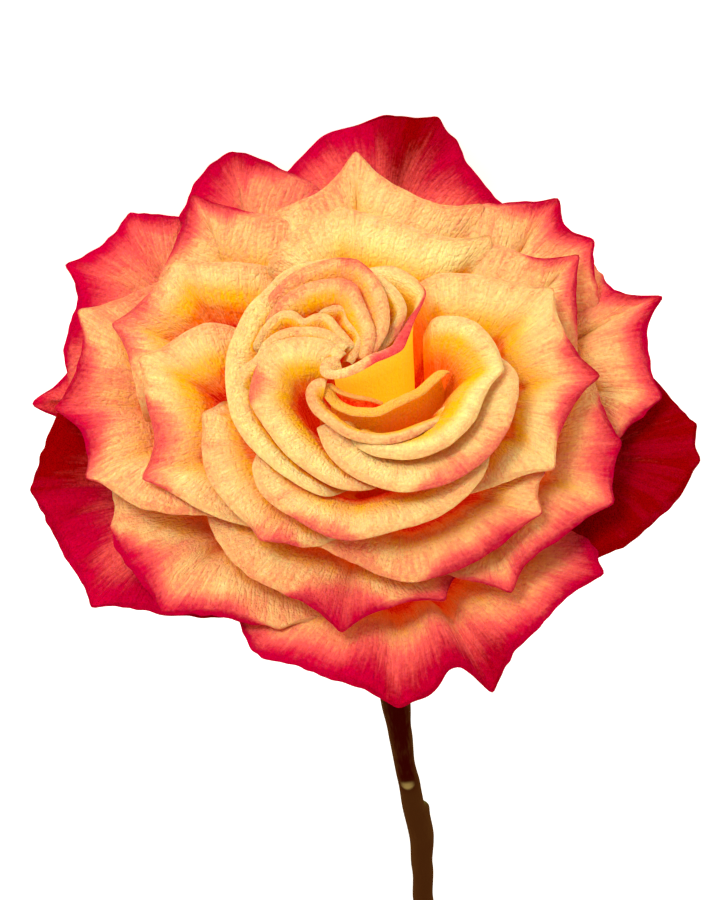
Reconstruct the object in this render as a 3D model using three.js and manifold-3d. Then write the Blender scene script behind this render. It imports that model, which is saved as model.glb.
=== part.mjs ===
// A single cut garden rose lying on a flat surface: an open bloom of spiralled petals,
// the green calyx behind it and a cut stem.
//
// The flower is drawn in its own frame: Z runs along the flower's axis from the base of the
// petals towards their tips, and azimuths are counted in degrees about it. The whole flower is
// then laid down, so that it rests on two outer petals and on the cut end of the stem.
// Lengths are millimetres, angles degrees, +Z up in the finished part.

import * as THREE from 'three';
import { mergeVertices } from 'three/addons/utils/BufferGeometryUtils.js';
import Module from 'manifold-3d';

// How the flower lies
const AXIS_RISE = 14;
const BASE_HEIGHT = 42.3;
const BASE_FORWARD = 50.65;
const BASE_SIDE = 1.1;

// Petals and the receptacle that they grow from
const PETAL_THICKNESS = 0.7;
const PETAL_ROWS = 4;
const TIP_REACH = 2.2;
const ROOT_SPREAD = 0.75;
const MARGIN_STEPS = 44;
const CALM_ROUNDS = 45;
const RECEPTACLE = { radius: 9, below: 2.4 };
const DENSE_HEART = { radius: 17, topRadius: 9, top: 40 };

// Calyx
const HIP_RADIUS = 7.4;
const HIP_LENGTH = 13;
const SEPALS = 5;
const SEPAL_LENGTH = 27;
const SEPAL_WIDTH = 7.5;
const SEPAL_THICKNESS = 1.0;
const NODE_GAP = 0.3;

// Stem
const STEM_LENGTH = 150;
const STEM_NECK_RADIUS = 3.4;
const STEM_SIDES = 12;
const STEM_STEPS = 44;
const END_SLANT = 0.55;
// Tables by the depth along the stem: how far it bends sideways, and how wide it is
const STEM_BENDS = [
  [0, 0], [44, -0.5], [56, -0.7], [70, -0.9], [79, -0.7], [88, -0.7], [100, -0.3], [114, -1.1],
  [129, -2.1], [150, -2.8]];
const STEM_WIDTHS = [
  [0, 2 * STEM_NECK_RADIUS], [20, 6.3], [44, 5.5], [56, 4.5], [70, 4], [79, 4.2], [88, 4.3],
  [100, 4.6], [114, 4.2], [129, 4.1], [150, 4.1]];
const LEAF_SHOULDER = { along: 88.6, azimuth: 0, rise: 0.95, fades: 11 };
const BUD_SCAR = { along: 80, azimuth: 262, rise: 0.3, length: 2.6 };

// Shape shared by the petals of one whorl. The lip is the last part of a petal, which rolls
// outwards: its length, and how far it still climbs in degrees. The wall is where the petal
// stands below its lip, as shares of the way out and up from its root to its margin.
const WHORLS = {
  guard: { rootRadius: 7, rootHeight: 0, lip: 24, climb: 0, wallOut: 0.5, wallUp: 0.66 },
  outer: { rootRadius: 6.5, rootHeight: 1, lip: 20, climb: 4, wallOut: 0.5, wallUp: 0.78 },
  middle: { rootRadius: 6, rootHeight: 2, lip: 17, climb: 5, wallOut: 0.52, wallUp: 0.86 },
  inner: { rootRadius: 5, rootHeight: 3, lip: 14, climb: 7, wallOut: 0.58, wallUp: 0.88 },
  heart: { rootRadius: 3.5, rootHeight: 4, lip: 9, climb: 23, wallOut: 0.5, wallUp: 0.82, across: 7 },
};

// One petal each: the margin as points [azimuth, reach from the axis, height above the base],
// with a fourth number where the margin is drawn out to a pointed tip. A petal has one profile
// for each of these points, or as many as across says at even distances.
const PETALS = {
  guard_top: { whorl: 'guard', margin: [
    [43, 48, 36], [50, 49, 41], [62, 55, 44, 1], [66, 58, 45, 1.5], [75, 57, 46, 1.5],
    [82, 56, 45], [90, 52, 43], [100, 48, 38]] },
  guard_upper_left: { whorl: 'guard', margin: [
    [82, 45, 38], [87, 46, 42], [94, 50, 43], [102, 56, 44, 2], [108, 55, 43],
    [116, 51, 41], [123, 50, 36]] },
  guard_left: { whorl: 'guard', margin: [
    [111, 47, 36], [117, 51, 41], [123, 56, 41, 2], [130, 56, 41], [137, 57, 41, 2],
    [142, 53, 40], [152, 51, 39], [159, 49, 37], [164, 47, 30]] },
  guard_left_low: { whorl: 'guard', margin: [
    [142, 54, 30], [155, 51, 34], [161, 54, 34, 2], [162, 51, 31], [162, 47, 24]] },
  guard_crimson_left: { whorl: 'guard', margin: [
    [150, 51, 28], [162, 50, 34], [171, 52, 34], [179, 54, 33, 1], [186, 53, 33],
    [194, 52, 33], [206, 51, 33, 2], [213, 47, 33], [226, 41, 33], [231, 33, 26]] },
  guard_lower_left: { whorl: 'guard', margin: [
    [170, 40, 30], [187, 41, 36], [200, 44, 37], [219, 45, 37, 1], [229, 41, 36],
    [244, 38, 35, 1], [256, 35, 33], [268, 28, 26]] },
  guard_bottom: { whorl: 'guard', margin: [
    [218, 32, 24], [233, 39, 32], [242, 44, 34], [251, 45, 35], [261, 48, 35], [270, 52, 35, 1],
    [276, 52, 35], [282, 49, 36], [286, 54, 34, 1], [293, 51, 35], [304, 49, 35],
    [316, 49, 34, 2], [323, 46, 33], [331, 41, 30], [338, 35, 24]] },
  guard_crimson_right: { whorl: 'guard', margin: [
    [377, 51, 28], [360, 52, 34], [350, 57, 35, 1], [343, 58, 35, 1], [337, 57, 35],
    [326, 52, 34], [319, 47, 33], [312, 43, 30], [306, 37, 25]] },
  guard_right: { whorl: 'guard', margin: [
    [35, 55, 30], [17, 51, 40], [13, 55, 40, 2], [8, 52, 40], [1, 51, 39], [-6, 52, 38, 2],
    [-11, 48, 38], [-16, 44, 36], [-18, 40, 30]] },
  guard_upper_right: { whorl: 'guard', margin: [
    [12, 44, 34], [18, 47, 40], [28, 51, 43, 1.5], [33, 50, 43], [39, 52, 43, 2],
    [44, 49, 44], [50, 45, 44], [59, 46, 38]] },

  outer_top: { whorl: 'outer', margin: [
    [41, 39, 40], [50, 43, 45, 2], [60, 41, 46], [68, 42, 47], [79, 47, 47, 2.5],
    [87, 42, 46], [99, 41, 44], [105, 43, 38]] },
  outer_upper_left: { whorl: 'outer', margin: [
    [85, 37, 40], [93, 38, 44], [104, 42, 45], [113, 49, 45, 2], [121, 45, 44],
    [129, 43, 42], [135, 42, 36]] },
  outer_left: { whorl: 'outer', margin: [
    [123, 43, 38], [135, 43, 43], [146, 49, 43, 2], [153, 47, 42], [166, 48, 40, 2.5],
    [175, 44, 41], [184, 43, 41, 2], [198, 38, 42], [210, 30, 41], [211, 25, 36]] },
  outer_right_up: { whorl: 'outer', margin: [
    [2, 39, 38], [14, 42, 44], [25, 46, 45, 2], [30, 41, 46], [39, 39, 46], [48, 38, 42]] },
  outer_lower_right: { whorl: 'outer', margin: [
    [373, 40, 36], [359, 41, 41], [341, 45, 41, 1], [328, 46, 40, 2], [318, 43, 39],
    [306, 41, 39], [300, 42, 39, 2], [291, 35, 38], [287, 28, 34]] },
  outer_front: { whorl: 'outer', margin: [
    [303, 32, 34], [285, 37, 39, 2], [270, 37, 39], [260, 39, 38, 1], [249, 35, 39],
    [235, 34, 40], [222, 32, 40], [208, 29, 39], [194, 26, 35]] },

  middle_upper_left: { whorl: 'middle', margin: [
    [98, 29, 42], [111, 32, 46], [127, 40, 46, 1], [137, 40, 46], [147, 41, 45, 2.5],
    [156, 37, 45], [166, 35, 43], [170, 34, 36]] },
  middle_left: { whorl: 'middle', margin: [
    [124, 21, 42], [139, 27, 48], [157, 34, 47, 2], [169, 33, 46], [182, 32, 45],
    [192, 34, 44, 2], [211, 30, 43], [227, 26, 41], [234, 21, 36]] },
  middle_lower_left: { whorl: 'middle', margin: [
    [152, 20, 38], [176, 23, 46, 1], [190, 25, 46], [212, 27, 46], [234, 28, 45, 1.5],
    [250, 28, 44], [261, 25, 43], [279, 20, 38]] },
  middle_top: { whorl: 'middle', margin: [
    [33, 34, 42], [42, 38, 47, 1.5], [53, 34, 48], [68, 34, 49], [82, 35, 50, 1],
    [96, 33, 49], [106, 30, 47], [110, 28, 42]] },
  middle_right: { whorl: 'middle', margin: [
    [60, 19, 40], [54, 22, 46], [44, 27, 49], [28, 33, 49], [18, 38, 48, 2], [6, 38, 47],
    [-6, 40, 46, 2.5], [-18, 37, 46], [-31, 36, 45, 2], [-41, 31, 44], [-51, 26, 42], [-53, 21, 36]] },
  middle_front: { whorl: 'middle', margin: [
    [342, 32, 38], [327, 34, 43, 2], [317, 37, 42, 2], [304, 37, 42], [289, 36, 42],
    [278, 35, 42], [264, 30, 43], [252, 27, 43], [236, 22, 38]] },

  inner_front: { whorl: 'inner', margin: [
    [193, 14, 42], [214, 20, 48], [226, 23, 48], [246, 26, 48], [263, 28, 47],
    [281, 28, 47], [298, 29, 47], [311, 29, 48], [324, 27, 48], [338, 24, 44]] },
  inner_lower_right: { whorl: 'inner', lip: 13, wall: [225, 12, 385, 20], face: 300, margin: [
    [235, 9, 50], [254, 14, 50], [267, 18, 50], [287, 24, 50, 1], [310, 27, 50, 1],
    [327, 29, 50], [351, 29, 50], [364, 26, 48], [379, 25, 42]] },
  inner_right: { whorl: 'inner', lip: 11, wall: [262, 12.5, 395, 17], face: 330, across: 9, margin: [
    [265.5, 10.2, 49], [280, 14.9, 50.5], [292.5, 18, 51], [304, 20.8, 51.5], [312, 22.4, 52],
    [322, 23.4, 52], [329, 24, 52], [344, 24.5, 52], [352, 26, 52, 1], [362, 26, 52],
    [376, 24, 52], [389, 20, 50], [395, 18, 44]] },

  heart_wrap_left: { whorl: 'heart', lip: 11, climb: 18, margin: [
    [81, 25.6, 48], [84, 24.3, 51], [95, 22.9, 53], [107, 22.4, 53.5], [118, 21.1, 53.5],
    [128, 20.8, 53.5], [142, 19.8, 53], [154, 19.5, 52.5], [165, 19.1, 52], [189, 18.8, 51],
    [212, 18.7, 50], [235, 19.3, 49], [253, 20.2, 48], [264, 16.7, 44]] },
  heart_left_second: { whorl: 'heart', margin: [
    [177, 17.4, 48], [174, 17.6, 51], [169, 17.3, 52], [163, 16.2, 53], [156, 14.1, 53.5],
    [147, 14, 54], [137, 13.2, 54.5], [126, 11.7, 55], [112, 9.7, 55], [96, 7.9, 55],
    [80, 6.3, 54.5], [60, 4.9, 54]] },
  heart_left_inner: { whorl: 'heart', lip: 12, climb: 14, margin: [
    [285, 16.1, 44], [274, 19.7, 48], [258, 19.1, 49], [234, 16.3, 50], [203, 15, 51],
    [185, 15.5, 52], [176, 14.9, 52.5], [163, 14.1, 53], [152, 13.5, 54], [141, 11.8, 54.5],
    [128, 9, 55], [111, 6.7, 55], [90, 4.9, 54.5], [61, 3.3, 54]] },
  heart_notch: { whorl: 'heart', margin: [
    [150, 16.4, 49], [145, 16.2, 52], [132, 15.9, 54], [122, 15.6, 54.5], [116, 14.5, 55],
    [112, 13, 55], [112, 11.5, 54.5], [107, 11.6, 55], [97, 11.4, 55], [89, 10.5, 55],
    [80, 8.3, 54.5], [65, 6.4, 54], [52, 5.6, 53.5]] },
  heart_curl: { whorl: 'heart', lip: 6, margin: [
    [101, 14.7, 51], [94, 12.9, 54], [82, 12.7, 54.5], [75, 12.5, 54.5], [72, 11.8, 54.5],
    [72, 10.4, 54], [63, 8.9, 54], [56, 8.7, 54], [48, 7.7, 54], [42, 5.7, 53.5], [31, 2.7, 53]] },
  heart_pink_second: { whorl: 'heart', margin: [
    [131, 17.6, 50], [126, 16.8, 53.5], [117, 16.8, 55], [104, 16.8, 56], [88, 16.5, 56.5],
    [77, 16.2, 56.5], [70, 15.2, 56.5], [64, 13.1, 56], [50, 10.4, 55.5], [36, 8.6, 55],
    [22, 6.2, 54], [15, 4.9, 53]] },
  heart_pink_outer: { whorl: 'heart', margin: [
    [122, 20.6, 50], [119, 19.4, 53.5], [109, 19.6, 55.5], [96, 19.9, 56.5], [81, 20.3, 57],
    [73, 19.8, 57, 0.5], [65, 18.4, 57], [55, 16.1, 56.5], [43, 13.2, 56], [33, 10.6, 55],
    [23, 7.5, 54], [15, 5.7, 53]] },
  heart_fan: { whorl: 'heart', lip: 6, margin: [
    [75, 20.9, 52], [65, 19.3, 55], [57, 18.1, 55.5], [46, 17, 55.5], [37, 15.8, 54.5],
    [32, 13.5, 53.5], [27, 10.5, 53], [20, 7.1, 52.5]] },
  heart_cone: { whorl: 'heart', lip: 5, climb: 95, wall: [70, 19, -110, 5], face: -20, across: 10, margin: [
    [71, 23, 50], [60, 22.4, 53], [51, 21.8, 54], [43, 21, 54], [39, 20.5, 53.5, 0.5],
    [35, 18.6, 53.5], [29, 15.7, 53.5], [20, 13, 53.5], [10, 11.2, 54], [3, 8.5, 54.5],
    [-3, 6.1, 55], [-25, 3.6, 55], [-66, 2.2, 55], [-122, 2.4, 55], [-158, 3, 55]] },
  heart_front_loop: { whorl: 'heart', lip: 5, climb: 25, wall: [175, 6, 350, 17], face: 270, margin: [
    [212, 2.5, 54], [190, 3.9, 54], [196, 5.9, 53], [207, 6.8, 52.5], [226, 7.8, 52],
    [248, 9.1, 52], [263, 10.8, 51.5], [278, 12.4, 51], [293, 14.6, 51], [306, 16.2, 51],
    [318, 17.3, 50.5], [327, 18.4, 50], [331, 18.9, 50, 0.5], [337, 17.6, 49]] },
  heart_front_inner: { whorl: 'heart', lip: 4, climb: 85, wall: [200, 5, 360, 17], face: 280, margin: [
    [201, 3.4, 53], [224, 4.6, 52.5], [249, 5.7, 52], [268, 7, 52], [283, 8, 52], [300, 9.8, 52],
    [314, 10.7, 52], [327, 12.1, 51.5], [337, 14, 51], [347, 15.6, 50.5], [358, 18, 50, 0.5]] },
  heart_front_strip: { whorl: 'heart', lip: 2, climb: 85, wall: [220, 4, 320, 9], face: 270, across: 5,
    margin: [
      [212, 2.8, 53], [248, 3.4, 53], [276, 4.1, 52.5], [293, 5.1, 52], [308, 6.6, 51.5], [318, 8.2, 50]] },
};

const wasm = await Module();
wasm.setup();

function polar(azimuth, reach, height) {
  const angle = THREE.MathUtils.degToRad(azimuth);
  return new THREE.Vector3(reach * Math.cos(angle), reach * Math.sin(angle), height);
}

// A closed mesh as a solid. A petal whose margin runs clockwise comes with its faces turned
// inwards, so its triangles are read the other way round.
function toSolid(geometry) {
  const bare = geometry.clone();
  bare.deleteAttribute('normal');
  bare.deleteAttribute('uv');
  const merged = mergeVertices(bare, 1e-4);
  const read = (corners) => new wasm.Manifold(new wasm.Mesh({
    numProp: 3,
    vertProperties: new Float32Array(merged.attributes.position.array),
    triVerts: new Uint32Array(corners),
  }));
  const corners = Array.from(merged.index.array);
  const solid = read(corners);
  return solid.volume() > 0 ? solid : read(corners.reverse());
}

function toGeometry(solid) {
  const mesh = solid.getMesh();
  const geometry = new THREE.BufferGeometry();
  geometry.setAttribute('position', new THREE.BufferAttribute(mesh.vertProperties, 3));
  geometry.setIndex(new THREE.BufferAttribute(mesh.triVerts, 1));
  geometry.computeVertexNormals();
  return geometry;
}

// A closed blade of even thickness about a grid of points. Both faces are split along the same
// diagonals, so that they stay apart by the thickness everywhere.
function blade(grid, thickness) {
  const rows = grid.length;
  const columns = grid[0].length;
  const within = (step, count) => THREE.MathUtils.clamp(step, 0, count - 1);
  const at = (row, column) => grid[within(row, rows)][within(column, columns)];
  const positions = [];
  for (const side of [1, -1]) {
    for (let row = 0; row < rows; row += 1) {
      for (let column = 0; column < columns; column += 1) {
        const along = at(row + 1, column).clone().sub(at(row - 1, column));
        const across = at(row, column + 1).clone().sub(at(row, column - 1));
        const normal = across.cross(along).normalize();
        const point = at(row, column).clone().addScaledVector(normal, side * thickness / 2);
        positions.push(point.x, point.y, point.z);
      }
    }
  }
  const index = [];
  const back = rows * columns;
  const id = (row, column) => row * columns + column;
  for (let row = 0; row + 1 < rows; row += 1) {
    for (let column = 0; column + 1 < columns; column += 1) {
      const a = id(row, column);
      const b = id(row, column + 1);
      const c = id(row + 1, column + 1);
      const d = id(row + 1, column);
      index.push(a, b, c, a, c, d);
      index.push(back + a, back + c, back + b, back + a, back + d, back + c);
    }
  }
  const rim = [];
  for (let column = 0; column + 1 < columns; column += 1) rim.push(id(0, column));
  for (let row = 0; row + 1 < rows; row += 1) rim.push(id(row, columns - 1));
  for (let column = columns - 1; column > 0; column -= 1) rim.push(id(rows - 1, column));
  for (let row = rows - 1; row > 0; row -= 1) rim.push(id(row, 0));
  rim.forEach((here, step) => {
    const next = rim[(step + 1) % rim.length];
    index.push(here, back + here, back + next, here, back + next, next);
  });
  const geometry = new THREE.BufferGeometry();
  geometry.setAttribute('position', new THREE.Float32BufferAttribute(positions, 3));
  geometry.setIndex(index);
  return geometry;
}

function bezier(controls, t) {
  let points = controls;
  while (points.length > 1) {
    points = points.slice(1).map((point, step) => points[step].clone().lerp(point, t));
  }
  return points[0];
}

// The same points or directions, each drawn towards its neighbours but for the two ends.
function smoothed(vectors, rounds) {
  let line = vectors;
  for (let round = 0; round < rounds; round += 1) {
    line = line.map((vector, step) => (step === 0 || step === line.length - 1
      ? vector
      : line[step - 1].clone().add(line[step + 1]).addScaledVector(vector, 2).divideScalar(4)));
  }
  return line;
}

// What lies at a share of the way along a line of evenly spaced points or directions.
function readLine(line, share) {
  const place = share * (line.length - 1);
  const step = Math.min(Math.floor(place), line.length - 2);
  return line[step].clone().lerp(line[step + 1], place - step);
}

// The margin is a smooth curve through its points. Each petal is a sheet of profiles that rise
// from a narrow root, stand up as a wall and roll outwards to one point of the margin each. Below
// the lip the sheet follows a calmer line than the margin, so tips and notches fade out inwards.
function petalGrid(petal) {
  const shape = { ...WHORLS[petal.whorl], ...petal };
  const knots = petal.margin.map(([azimuth, reach, height]) => polar(azimuth, reach, height));
  const curve = new THREE.CatmullRomCurve3(knots, false, 'centripetal');
  const margin = curve.getSpacedPoints(MARGIN_STEPS);
  const sum = margin.reduce((total, point) => total.add(point), new THREE.Vector3());
  const centre = sum.divideScalar(margin.length);
  const face = shape.face ?? THREE.MathUtils.radToDeg(Math.atan2(centre.y, centre.x));
  const turn = Math.sign(margin.slice(1).reduce((total, point, step) => (
    total + margin[step].x * point.y - margin[step].y * point.x), 0));
  const extent = Math.abs(petal.margin.at(-1)[0] - petal.margin[0][0]);
  const rootSpread = shape.wall ? 110 : Math.max(50, ROOT_SPREAD * extent);
  const climb = THREE.MathUtils.degToRad(shape.climb);
  const calm = smoothed(margin, CALM_ROUNDS);
  const directions = smoothed(margin.map((point, step) => {
    const before = margin[Math.max(step - 2, 0)];
    const after = margin[Math.min(step + 2, MARGIN_STEPS)];
    return new THREE.Vector3(after.y - before.y, before.x - after.x, 0).multiplyScalar(turn).normalize();
  }), CALM_ROUNDS);
  const lengths = curve.getLengths((knots.length - 1) * 20);
  const shares = shape.across
    ? Array.from({ length: shape.across + 1 }, (unused, column) => column / shape.across)
    : knots.map((knot, step) => lengths[step * 20] / lengths.at(-1));
  const columns = shares.map((share) => {
    const point = curve.getPointAt(share);
    const inner = readLine(calm, share);
    const outwards = readLine(directions, share).normalize();
    const tip = point.clone();
    petal.margin.forEach(([, , , pinch = 0], step) => {
      tip.addScaledVector(outwards, pinch * Math.exp(-point.distanceTo(knots[step]) / TIP_REACH));
    });
    const root = polar(face + (share - 0.5) * rootSpread * turn, shape.rootRadius, shape.rootHeight);
    const rise = tip.z - shape.rootHeight;
    let belly = root.clone().lerp(inner, 0.5);
    let wall = root.clone().lerp(inner, shape.wallOut);
    if (shape.wall) {
      const [fromAzimuth, fromReach, toAzimuth, toReach] = shape.wall;
      wall = polar(
        THREE.MathUtils.lerp(fromAzimuth, toAzimuth, share),
        THREE.MathUtils.lerp(fromReach, toReach, share), 0);
      belly = root.clone().lerp(wall, 0.8);
    }
    belly.z = shape.rootHeight + rise * 0.08;
    wall.z = shape.rootHeight + rise * (shape.wall ? 0.68 : shape.wallUp);
    const lip = inner.clone().lerp(tip, 0.25).addScaledVector(outwards, -shape.lip * Math.cos(climb));
    lip.z -= shape.lip * Math.sin(climb);
    return [root, belly, wall, lip, tip];
  });
  const grid = [];
  for (let row = 0; row <= PETAL_ROWS; row += 1) {
    grid.push(columns.map((controls) => bezier(controls, row / PETAL_ROWS)));
  }
  return grid;
}

// Keeps what lies above the surface once the flower is laid down, which leaves small flats on
// the petals and the stem end that it rests on.
function restOnSurface(solid) {
  const rise = THREE.MathUtils.degToRad(AXIS_RISE);
  return solid.trimByPlane([0, -Math.cos(rise), Math.sin(rise)], -BASE_HEIGHT);
}

// Petals that lean on each other can close off a small pocket between them. Only the outer
// skin of the solid is kept, so such a pocket is filled.
function fillPockets(solid) {
  const skins = solid.decompose();
  return skins.reduce((largest, skin) => (skin.volume() > largest.volume() ? skin : largest));
}

function makeBloom() {
  const { radius, topRadius, top } = DENSE_HEART;
  const receptacle = new THREE.LatheGeometry([
    new THREE.Vector2(0, -RECEPTACLE.below),
    new THREE.Vector2(RECEPTACLE.radius * 0.8, -RECEPTACLE.below),
    new THREE.Vector2(RECEPTACLE.radius, 0),
    new THREE.Vector2(radius, top * 0.12),
    new THREE.Vector2(radius, top * 0.4),
    new THREE.Vector2(topRadius, top * 0.85),
    new THREE.Vector2(0, top),
  ], 12);
  receptacle.rotateX(Math.PI / 2);
  let solid = toSolid(receptacle);
  for (const petal of Object.values(PETALS)) {
    solid = solid.add(toSolid(blade(petalGrid(petal), PETAL_THICKNESS)));
  }
  return toGeometry(fillPockets(restOnSurface(solid)));
}

// Sepals bend away from the petals and down past the hip, broad at their root and pointed.
function sepalGrid(azimuth) {
  const midrib = new THREE.QuadraticBezierCurve3(
    new THREE.Vector3(HIP_RADIUS * 0.5, 0, -RECEPTACLE.below - 2.2),
    new THREE.Vector3(SEPAL_LENGTH * 0.62, 0, -RECEPTACLE.below - 0.5),
    new THREE.Vector3(SEPAL_LENGTH * 0.8, 0, -SEPAL_LENGTH * 0.75));
  const grid = [];
  const steps = 7;
  for (let row = 0; row <= steps; row += 1) {
    const share = row / steps;
    const half = SEPAL_WIDTH / 2 * (0.85 + 0.35 * Math.sin(Math.PI * share)) * Math.sqrt(1.04 - share ** 1.6);
    const spine = midrib.getPointAt(share);
    grid.push([-1, -0.5, 0, 0.5, 1].map((side) => new THREE.Vector3(
      spine.x, half * side, spine.z - 0.9 * side * side)
      .applyAxisAngle(new THREE.Vector3(0, 0, 1), THREE.MathUtils.degToRad(azimuth))));
  }
  return grid;
}

function makeCalyx() {
  const top = -RECEPTACLE.below - NODE_GAP;
  const bottom = top - HIP_LENGTH;
  const hip = new THREE.LatheGeometry([
    new THREE.Vector2(0, bottom),
    new THREE.Vector2(STEM_NECK_RADIUS, bottom),
    new THREE.Vector2(HIP_RADIUS * 0.78, bottom + HIP_LENGTH * 0.35),
    new THREE.Vector2(HIP_RADIUS, bottom + HIP_LENGTH * 0.65),
    new THREE.Vector2(HIP_RADIUS * 0.86, top),
    new THREE.Vector2(0, top),
  ], 20);
  hip.rotateX(Math.PI / 2);
  let solid = toSolid(hip);
  for (let sepal = 0; sepal < SEPALS; sepal += 1) {
    solid = solid.add(toSolid(blade(sepalGrid(54 + sepal * 360 / SEPALS), SEPAL_THICKNESS)));
  }
  return toGeometry(solid);
}

// The value between two rows of a table, with a smooth step from row to row.
function readTable(table, place) {
  const row = Math.max(table.findIndex(([from]) => from >= place), 1);
  const [[from, first], [to, last]] = [table[row - 1], table[row]];
  return THREE.MathUtils.lerp(first, last, THREE.MathUtils.smoothstep(place, from, to));
}

// The stem is a straight round bar whose rings are moved onto the stem's slight bends. It widens
// towards the hip. At the leaf node one side steps out and then thins again, and the bud scar is
// raised from its surface.
function makeStem() {
  const top = -RECEPTACLE.below - HIP_LENGTH - 2 * NODE_GAP;
  const section = new THREE.Shape();
  section.absarc(0, 0, 1, 0, Math.PI * 2);
  const bar = new THREE.ExtrudeGeometry(section, {
    depth: STEM_LENGTH, steps: STEM_STEPS, curveSegments: STEM_SIDES / 2, bevelEnabled: false,
  });
  const facing = (angle, azimuth) => Math.max(Math.cos(angle - THREE.MathUtils.degToRad(azimuth)), 0);
  const position = bar.attributes.position;
  for (let vertex = 0; vertex < position.count; vertex += 1) {
    const depth = position.getZ(vertex);
    const angle = Math.atan2(-position.getY(vertex), position.getX(vertex));
    const below = depth - LEAF_SHOULDER.along;
    const shoulder = LEAF_SHOULDER.rise * facing(angle, LEAF_SHOULDER.azimuth) ** 2
      * (below < 0 ? 0 : Math.exp(-below / LEAF_SHOULDER.fades));
    const scar = BUD_SCAR.rise * facing(angle, BUD_SCAR.azimuth) ** 3
      * Math.exp(-(((depth - BUD_SCAR.along) / BUD_SCAR.length) ** 2));
    const radius = readTable(STEM_WIDTHS, depth) / 2 + shoulder + scar;
    const across = radius * position.getX(vertex);
    const down = -radius * position.getY(vertex);
    const cut = END_SLANT * down * THREE.MathUtils.smoothstep(depth, STEM_LENGTH - 12, STEM_LENGTH);
    position.setXYZ(vertex, readTable(STEM_BENDS, depth) + across, down, top - depth - cut);
  }
  return toGeometry(restOnSurface(toSolid(bar)));
}

const PARTS = {
  bloom: { make: makeBloom, color: '#f0865a', roughness: 0.62 },
  calyx: { make: makeCalyx, color: '#5f7f33', roughness: 0.6 },
  stem: { make: makeStem, color: '#3d1a10', roughness: 0.5 },
};

// Laid down: the axis rises towards the bloom, which faces -Y, and the petals of azimuth 90 are
// turned down to the surface.
const rose = new THREE.Group();
rose.rotation.set(THREE.MathUtils.degToRad(AXIS_RISE - 90), 0, Math.PI, 'ZYX');
rose.position.set(BASE_SIDE, -BASE_FORWARD, BASE_HEIGHT);

for (const [name, part] of Object.entries(PARTS)) {
  const material = new THREE.MeshStandardMaterial({
    color: part.color, roughness: part.roughness, metalness: 0,
  });
  const mesh = new THREE.Mesh(part.make(), material);
  mesh.name = name;
  rose.add(mesh);
}

export default rose;
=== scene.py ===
# %% [markdown]
# A cut garden rose, laid down
#
# This notebook dresses the solid model of a single open rose. The solids give the sizes and the
# place; here every petal gets a thin, waved sheet of its own, and petal, sepal and stem get the
# colours and the fine grain of living tissue. Lengths in the tables are millimetres in the
# flower's own frame: the axis of the bloom is Z, and azimuths are counted in degrees round it.

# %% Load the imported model
import math

import bmesh
import bpy
from mathutils import Matrix, Vector, noise
from mathutils.bvhtree import BVHTree


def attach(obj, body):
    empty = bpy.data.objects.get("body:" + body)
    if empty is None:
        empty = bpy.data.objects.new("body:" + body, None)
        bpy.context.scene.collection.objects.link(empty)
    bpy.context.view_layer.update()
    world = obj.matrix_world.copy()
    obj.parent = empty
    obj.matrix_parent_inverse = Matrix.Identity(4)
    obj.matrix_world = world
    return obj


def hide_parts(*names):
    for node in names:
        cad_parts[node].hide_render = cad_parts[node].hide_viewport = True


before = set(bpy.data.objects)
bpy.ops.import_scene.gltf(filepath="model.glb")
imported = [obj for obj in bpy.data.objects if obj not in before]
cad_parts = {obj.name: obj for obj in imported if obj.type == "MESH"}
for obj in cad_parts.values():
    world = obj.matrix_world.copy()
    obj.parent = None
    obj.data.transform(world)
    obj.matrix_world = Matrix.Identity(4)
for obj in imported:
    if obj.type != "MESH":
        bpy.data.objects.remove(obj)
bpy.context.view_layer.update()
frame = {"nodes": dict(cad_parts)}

print("solids:", ", ".join(frame["nodes"]))

# %% [markdown]
# Laying the flower down
#
# On the plant the flower would stand upright. Cut and put on a table it lies on two of its
# outer petals and on the end of its stem, so its axis rises only a little. Every piece below is
# drawn upright in the flower's own frame and then moved with one transform, which is simpler
# than drawing it lying down.

# %% The transform from the flower's frame to the table
MM = 0.001
AXIS_RISE = math.radians(14)
BASE = Vector((1.1, -50.65, 42.3))

LAY_DOWN = (
    Matrix.Scale(MM, 4)
    @ Matrix.Translation(BASE)
    @ Matrix.Rotation(math.pi, 4, "Z")
    @ Matrix.Rotation(AXIS_RISE - math.pi / 2, 4, "X")
)


def polar(azimuth, reach, height):
    """A point of the flower's frame from its azimuth in degrees, its reach and its height."""
    angle = math.radians(azimuth)
    return Vector((reach * math.cos(angle), reach * math.sin(angle), height))


def blend(low, high, value):
    """0 below low, 1 above high, and a smooth step between them."""
    share = min(max((value - low) / (high - low), 0.0), 1.0)
    return share * share * (3 - 2 * share)


tip_end = LAY_DOWN @ Vector((0, 0, 55))
print("middle of the bloom's face, m:", [round(value, 3) for value in tip_end])

# %% [markdown]
# Camera
#
# The bloom is looked at 32 degrees off its axis from the side of the stem, with a long lens, so
# near and far petals keep almost the same scale. The stem runs down in the picture, because the
# camera is turned with the flower and looks down on the table.

# %% Camera
OFF_AXIS = math.radians(32)
LEAN = math.radians(10)
CAMERA_DISTANCE = 700
LENS_PER_SENSOR = 4200 / 900
SENSOR = 36
AIM = Vector((1.1, -3.9, 35.3))

to_camera = Vector((0, -math.sin(OFF_AXIS), math.cos(OFF_AXIS)))
level = Vector((1, 0, 0))
upwards = Vector((0, math.cos(OFF_AXIS), math.sin(OFF_AXIS)))
picture_right = math.cos(LEAN) * level - math.sin(LEAN) * upwards
picture_up = math.sin(LEAN) * level + math.cos(LEAN) * upwards


def picture_direction(right, up, towards):
    """A direction on the table, given along the picture's right, its top and the camera."""
    local = right * picture_right + up * picture_up + towards * to_camera
    return (LAY_DOWN.to_3x3() @ local).normalized()


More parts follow.
